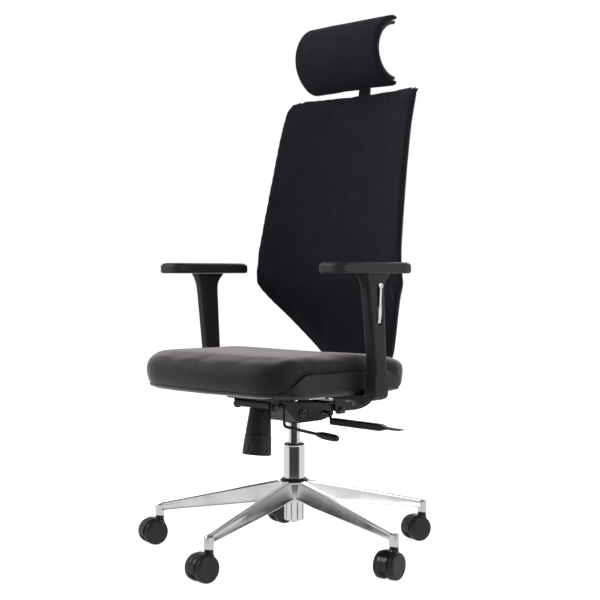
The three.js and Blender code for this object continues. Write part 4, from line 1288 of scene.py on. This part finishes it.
def underpan():
    """The moulded pan: a floor with a rounded foot, side walls with a rolled rim, and low ends under the cover."""
    front_end, rear_end = -262, 134

    def ring(height, inset, inward=0.0):
        row = []
        for i in range(PLAN_STEPS):
            x0, y0 = PLAN[i]
            tucked = 10 * smoothstep(-222, -258, y0) + 14 * smoothstep(92, 118, y0)
            p = plan_at(i, inset + tucked)
            y = min(max(p.y, front_end + inward), rear_end - inward)
            row.append((p.x, y, height(pan_rim(y0), y0)))
        return row

    def floor_at(low):
        return lambda rim, y: low + 4.6 * smoothstep(-165, -250, y)

    def capped(z, under):
        return lambda rim, y: min(max(z, floor_at(386)(rim, y) + (z - 386) * 0.4), rim - under)

    def inner_face(z):
        return lambda rim, y: min(max(z, floor_at(390.6)(rim, y)), rim - 1.8)

    base_row = ring(floor_at(386), 22)
    rows = [towards_middle(base_row, share, 386) for share in (0.2, 0.5, 0.8)] + [base_row]
    for z, inset in ((386.5, 15.5), (387.8, 10.4), (390, 6.2), (393, 3.0), (396.6, 1.0), (400, 0.15), (402.5, 0)):
        rows.append(ring(capped(z, 3), inset))
    for share in (0.35, 0.7, 0.93):
        rows.append(ring(lambda rim, y, share=share: min(402.5, rim - 3) + max(0.0, rim - 2 - 402.5) * share, 0))
    for under, inset, inward in ((1.2, 0.1, 0), (0.2, 1.2, 0.6), (0, 2.6, 1.4), (0.3, 4.0, 2.4), (1.6, 5, 3.2)):
        rows.append(ring(lambda rim, y, under=under: rim - under, inset, inward))
    rows.append(ring(lambda rim, y: min(rim - 1.6, 400 + (rim - 400) * 0.4), 5, 3.5))
    rows.append(ring(lambda rim, y: min(400, rim - 1.7), 5, 3.5))
    for z, inset in ((396, 6.6), (392.6, 10)):
        rows.append(ring(inner_face(z), inset, 4))
    last = ring(lambda rim, y: 390.8, 22, 4)
    rows += [last] + [towards_middle(last, share, 390.8) for share in (0.8, 0.5, 0.2)]
    piece("underpan_finish", Solid().rings(rows), "seat", GREY_PLASTIC, ["underpan"], "grey_plastic", angle=38)


underpan()


# ---------------------------------------------------------------- back
BACK_HEIGHTS = [430, 460, 545, 600, 628, 700, 800, 900, 1000, 1094]
BACK_MIDDLE = [222, 212, 179, 161, 154, 157, 169, 184, 201, 222]
BACK_EDGE = [221, 206, 149, 109, 94, 96, 114, 134, 156, 184]
BACK_HALF = [100, 123, 182, 222, 242, 235, 228, 221, 215, 211]
CURL = 2.2
COVER_TOP = 1100
CORNER_DROP = 3.5
COVER_SPREAD = 3.0  # how far the stretched cover is made wider before it is simulated and relaxed


def table_at(values, z, soft=9.0):
    """Reads a table between the back's heights, its bends rounded over soft millimetres."""

    def straight(h):
        h = min(1094, max(430, h))
        k = 0
        while k < len(BACK_HEIGHTS) - 2 and BACK_HEIGHTS[k + 1] < h:
            k += 1
        t = (h - BACK_HEIGHTS[k]) / (BACK_HEIGHTS[k + 1] - BACK_HEIGHTS[k])
        return values[k] + (values[k + 1] - values[k]) * t

    return sum(straight(z + soft * o) * w for o, w in ((-1.5, 0.1), (-0.8, 0.2), (0, 0.4), (0.8, 0.2), (1.5, 0.1)))


def back_point(u, z, depth=0.0, inset=0.0):
    """A point of the back's face: u from -1 to 1 across, z up, depth behind the face."""
    half = table_at(BACK_HALF, z)
    middle, edge = table_at(BACK_MIDDLE, z, 26), table_at(BACK_EDGE, z, 20)
    x = (half - inset) * u
    curl = (abs(x) / half) ** CURL
    return x, middle - (middle - edge) * curl + depth, z


def back_upholstery():
    """Thin foam under a stretched cover, its edges rolled back over the shell's rim."""
    columns, levels = 88, 132
    thickness, roll = 12.0, 13.0
    top_radius, foot_radius = 13.0, 14.0

    def row_at(k, face):
        z = 430 + (COVER_TOP - 430) * (k / levels)
        row = []
        for j in range(columns + 1):
            u = crowded(j, columns, 1.25)
            half = table_at(BACK_HALF, z) + COVER_SPREAD
            from_side = (1 - abs(u)) * half
            drop = CORNER_DROP * abs(u) ** CURL * smoothstep(1000, 1094, z)
            height = z - drop
            from_top, from_foot = COVER_TOP - z, z - 430
            pull = corner_pull((top_radius, from_top), (foot_radius, from_foot))
            x, y, _ = back_point(u, z, 0, pull - COVER_SPREAD)
            gap = min(from_side, from_top, from_foot)
            if face == 0:
                puff = 1.6 * smoothstep(10, 60, gap)
                wrinkle = 0.8 * lumps(x, 0, z, 80, 5.2) + 0.35 * lumps(x, 0, z, 30, 9.7)
                depth = thickness * (1 - rolled(gap, roll)) - puff - wrinkle * smoothstep(12, 40, gap)
            else:
                depth = thickness + 0.4
            lip = 17.0 * smoothstep(32, 0, from_top)
            # behind, the lip catches up at the very top, so that the two faces meet there and never cross
            follow = 0.9 if face == 0 else 0.55 + 0.37 * smoothstep(10, 0, from_top)
            row.append((x, y + depth + lip * follow, height))
        return row

    front = [row_at(k, 0) for k in range(levels + 1)]
    rear = [row_at(k, 1) for k in range(levels + 1)]
    made = made_object("back_upholstery_finish", Solid().closed_sheet(front, rear), [BACK_FABRIC], 0.05)
    puffed(made, 5, 1.8, 2.2)
    smoothed(made, 8)
    made.data.shade_smooth()
    for side, sign in reversed(SIDES.items()):
        line = []
        for z in range(446, 1084, 8):
            half = table_at(BACK_HALF, z, 22)
            u = sign * (half - 9) / half
            x, y, _ = back_point(u, z)
            line.append((x, y - 2, z))
        seam(made, f"back_seam_{side}", line, "back", THREAD, "back_fabric", groove=2.0, depth=0.8, cord=0.6)
    finish_piece(made, "back", ["back_upholstery"], 80)


back_upholstery()

STEM_AXIS = Vector((0.2, 0.98)).normalized()


def up_stem(distance, aside=0.0):
    return 215.5 + STEM_AXIS.x * distance + aside * STEM_AXIS.y, 945 + STEM_AXIS.y * distance - aside * STEM_AXIS.x


def back_shell():
    """The moulded shell behind the cover, with a raised spine, the stem's channel and the bar's socket."""
    columns, levels = 56, 84
    grid = []
    for face in (0, 1):
        rows = []
        for k in range(levels + 1):
            z = 434 + 656 * k / levels
            row = []
            for j in range(columns + 1):
                u = crowded(j, columns, 1.15)
                x, y, _ = back_point(u, z, 0, 4 + corner_pull((18.0, 1090 - z), (14.0, z - 434)))
                drop = CORNER_DROP * abs(u) ** CURL * smoothstep(1000, 1094, z)
                from_side = (1 - abs(u)) * table_at(BACK_HALF, z)
                gap = min(from_side, 1090 - z, z - 434)
                edge = 1 - rolled(gap, 5)
                lip = 7.0 * smoothstep(26, 0, 1094 - z)
                if face == 0:
                    depth = 13.2 + lip * 0.5
                else:
                    spine = 3.4 * smoothstep(64, 50, abs(x)) * smoothstep(470, 520, z) * smoothstep(1060, 1010, z)
                    rim = 1.8 * smoothstep(26, 20, gap)
                    flutes = 0.0
                    if 70 < abs(x) < 190 and 660 < z < 1010:
                        fade = smoothstep(70, 84, abs(x)) * smoothstep(190, 172, abs(x))
                        fade = fade * smoothstep(660, 700, z) * smoothstep(1010, 970, z)
                        flutes = -1.5 * fade * (0.5 + 0.5 * math.cos(TAU * z / 34)) ** 3
                    depth = 13.2 + (5.4 + spine + rim + flutes) * (1 - 0.7 * edge) + lip * 0.5
                row.append((x, y + depth, z - drop))
            rows.append(row)
        grid.append(rows)
    made = made_object("back_shell_finish", Solid().closed_sheet(*grid), [BLACK_PLASTIC], 0.05)
    channel_side = [up_stem(*place) for place in ((12, -14), (12, 9), (18, 12), (126, 12), (132, 9), (132, -14))]
    channel = Solid().prism(outline([(*p, 3) for p in channel_side]), 0, -30, 30)
    socket = Solid().prism(outline([(178, 556, 2), (226, 556, 8), (216, 652, 8), (178, 652, 2)]), 0, -44, 44)
    blocks = (block("channel", channel, BLACK_PLASTIC, 2.2), block("socket", socket, BLACK_PLASTIC, 2.6))
    made = union(made, *blocks)
    slot = [up_stem(*place) for place in ((-60, -4.3), (-60, 4.3), (190, 4.3), (190, -4.3))]
    face = [(back_point(0, z, 12.9)[1], z) for z in range(1090, 430, -12)]
    carve(
        made,
        Solid().prism(slot, 0, -18.7, 18.7),
        Solid().sweep(in_middle(spline(BAR_LINE, 10)), rounded_box(35.6, 6.0, 1.4)),
        Solid().prism([(60, 380), (60, 1100), *face], 0, -50, 50),
    )
    finish_piece(made, "back", ["back_shell"], 35)


back_shell()


# ---------------------------------------------------------------- headrest
HEAD_Y, HEAD_Z = 216, 1187
HEAD_PIVOT = (228, 1168)  # the tilt axis, as y and z


def headrest_arc(radius, angle):
    """A point on the C about its centre: angle 0 points forward, and grows upward."""
    return HEAD_Y - radius * math.cos(angle), HEAD_Z + radius * math.sin(angle)


def headrest_pad():
    turns, columns = 64, 72
    sweep = math.radians(91)
    half, edge = 137.0, 9.0
    front, rear = [], []
    for k in range(columns + 1):
        x = half * crowded(k, columns, 1.3)
        gap = half - abs(x)
        share = min(1.0, gap / edge)
        swell = rolled(gap, edge)
        section = []
        for i in range(turns + 1):
            a = -sweep + 2 * sweep * i / turns
            tip = rolled((sweep - abs(a)) * 76, 5)
            belly = 1.0 * lumps(x, 60 * a, 0, 60, 4.4) * share
            radius = 71.2 + 11.4 * swell * tip + belly * tip
            section.append((x, *headrest_arc(radius, a)))
        front.append(section)
        rear.append([(x, *headrest_arc(70.9, (-sweep + 2 * sweep * i / turns) * 0.995)) for i in range(turns + 1)])
    made = made_object("headrest_pad_finish", Solid().closed_sheet(front, rear), [BACK_FABRIC], 0.02)
    puffed(made, 4, 2.4, 3)
    smoothed(made, 2)
    subdivide(made, 1)
    apply_modifiers(made)
    made.data.shade_smooth()
    for side, sign in reversed(SIDES.items()):
        line = []
        for i in range(45):
            a = math.radians(-84 + 168 * i / 44)
            line.append((sign * 129.5, *headrest_arc(82.5, a)))
        seam(made, f"headrest_seam_{side}", line, "headrest", THREAD, "back_fabric", groove=2.2, depth=0.9, cord=0.7)
    finish_piece(made, "headrest", ["headrest_pad"], 80)


headrest_pad()


def headrest_shell():
    half, outer, inner = 132.0, 70.7, 63.8
    sweep = math.radians(84)
    front, rear, columns = [], [], 40
    for k in range(columns + 1):
        x = half * crowded(k, columns, 1.6)
        edge = 1 - rolled(half - abs(x), 3)
        lip = 1.2 * smoothstep(12, 8, half - abs(x)) * (1 - edge)
        angles = [-sweep + 2 * sweep * i / 48 for i in range(49)]
        front.append([(x, *headrest_arc(outer, a)) for a in angles])
        rear.append([(x, *headrest_arc(inner + 4.5 * edge - lip, a * (1 - 0.006 * edge))) for a in angles])
    made = made_object("headrest_shell_finish", Solid().closed_sheet(front, rear), [BLACK_PLASTIC], 0.05)
    y, z = HEAD_PIVOT
    ear = outline([(153, z - 15, 1), (y + 12, z - 12, 11), (y + 12, z + 12, 11), (150, z + 20, 1)], 8)
    for low in (-27, 19):
        made = union(made, block("lobe", Solid().prism(ear, 0, low, low + 8), BLACK_PLASTIC, 1.4))
    bore = [(0, -40), (4.3, -40), (4.3, 40), (0, 40)]
    carve(made, Solid().turned(bore, 32, move=facing_x(0, *HEAD_PIVOT)))
    finish_piece(made, "headrest", ["headrest_shell"], 35)


headrest_shell()


def headrest_stem():
    line = spline([up_stem(0), up_stem(90), up_stem(165), (245, 1146), (234, 1162)], 10)
    section = rounded_box(18, 3.5, 2.2, 5)
    blade = made_object("headrest_stem_finish", Solid().sweep(in_middle(line), section), [BLACK_PLASTIC])
    across = facing_x(0, *HEAD_PIVOT)
    barrel = Solid().turned([(0, -18), (8, -18), (9, -17), (9, 17), (8, 18), (0, 18)], 48, move=across)
    pin = Solid().turned([(0, -28), (3.5, -28), (4, -27.5), (4, 27.5), (3.5, 28), (0, 28)], 32, move=across)
    made = union(blade, made_object("barrel", barrel, [BLACK_PLASTIC]), made_object("pin", pin, [BLACK_PLASTIC]))
    finish_piece(made, "headrest_slider", ["headrest_stem"], 35)


headrest_stem()
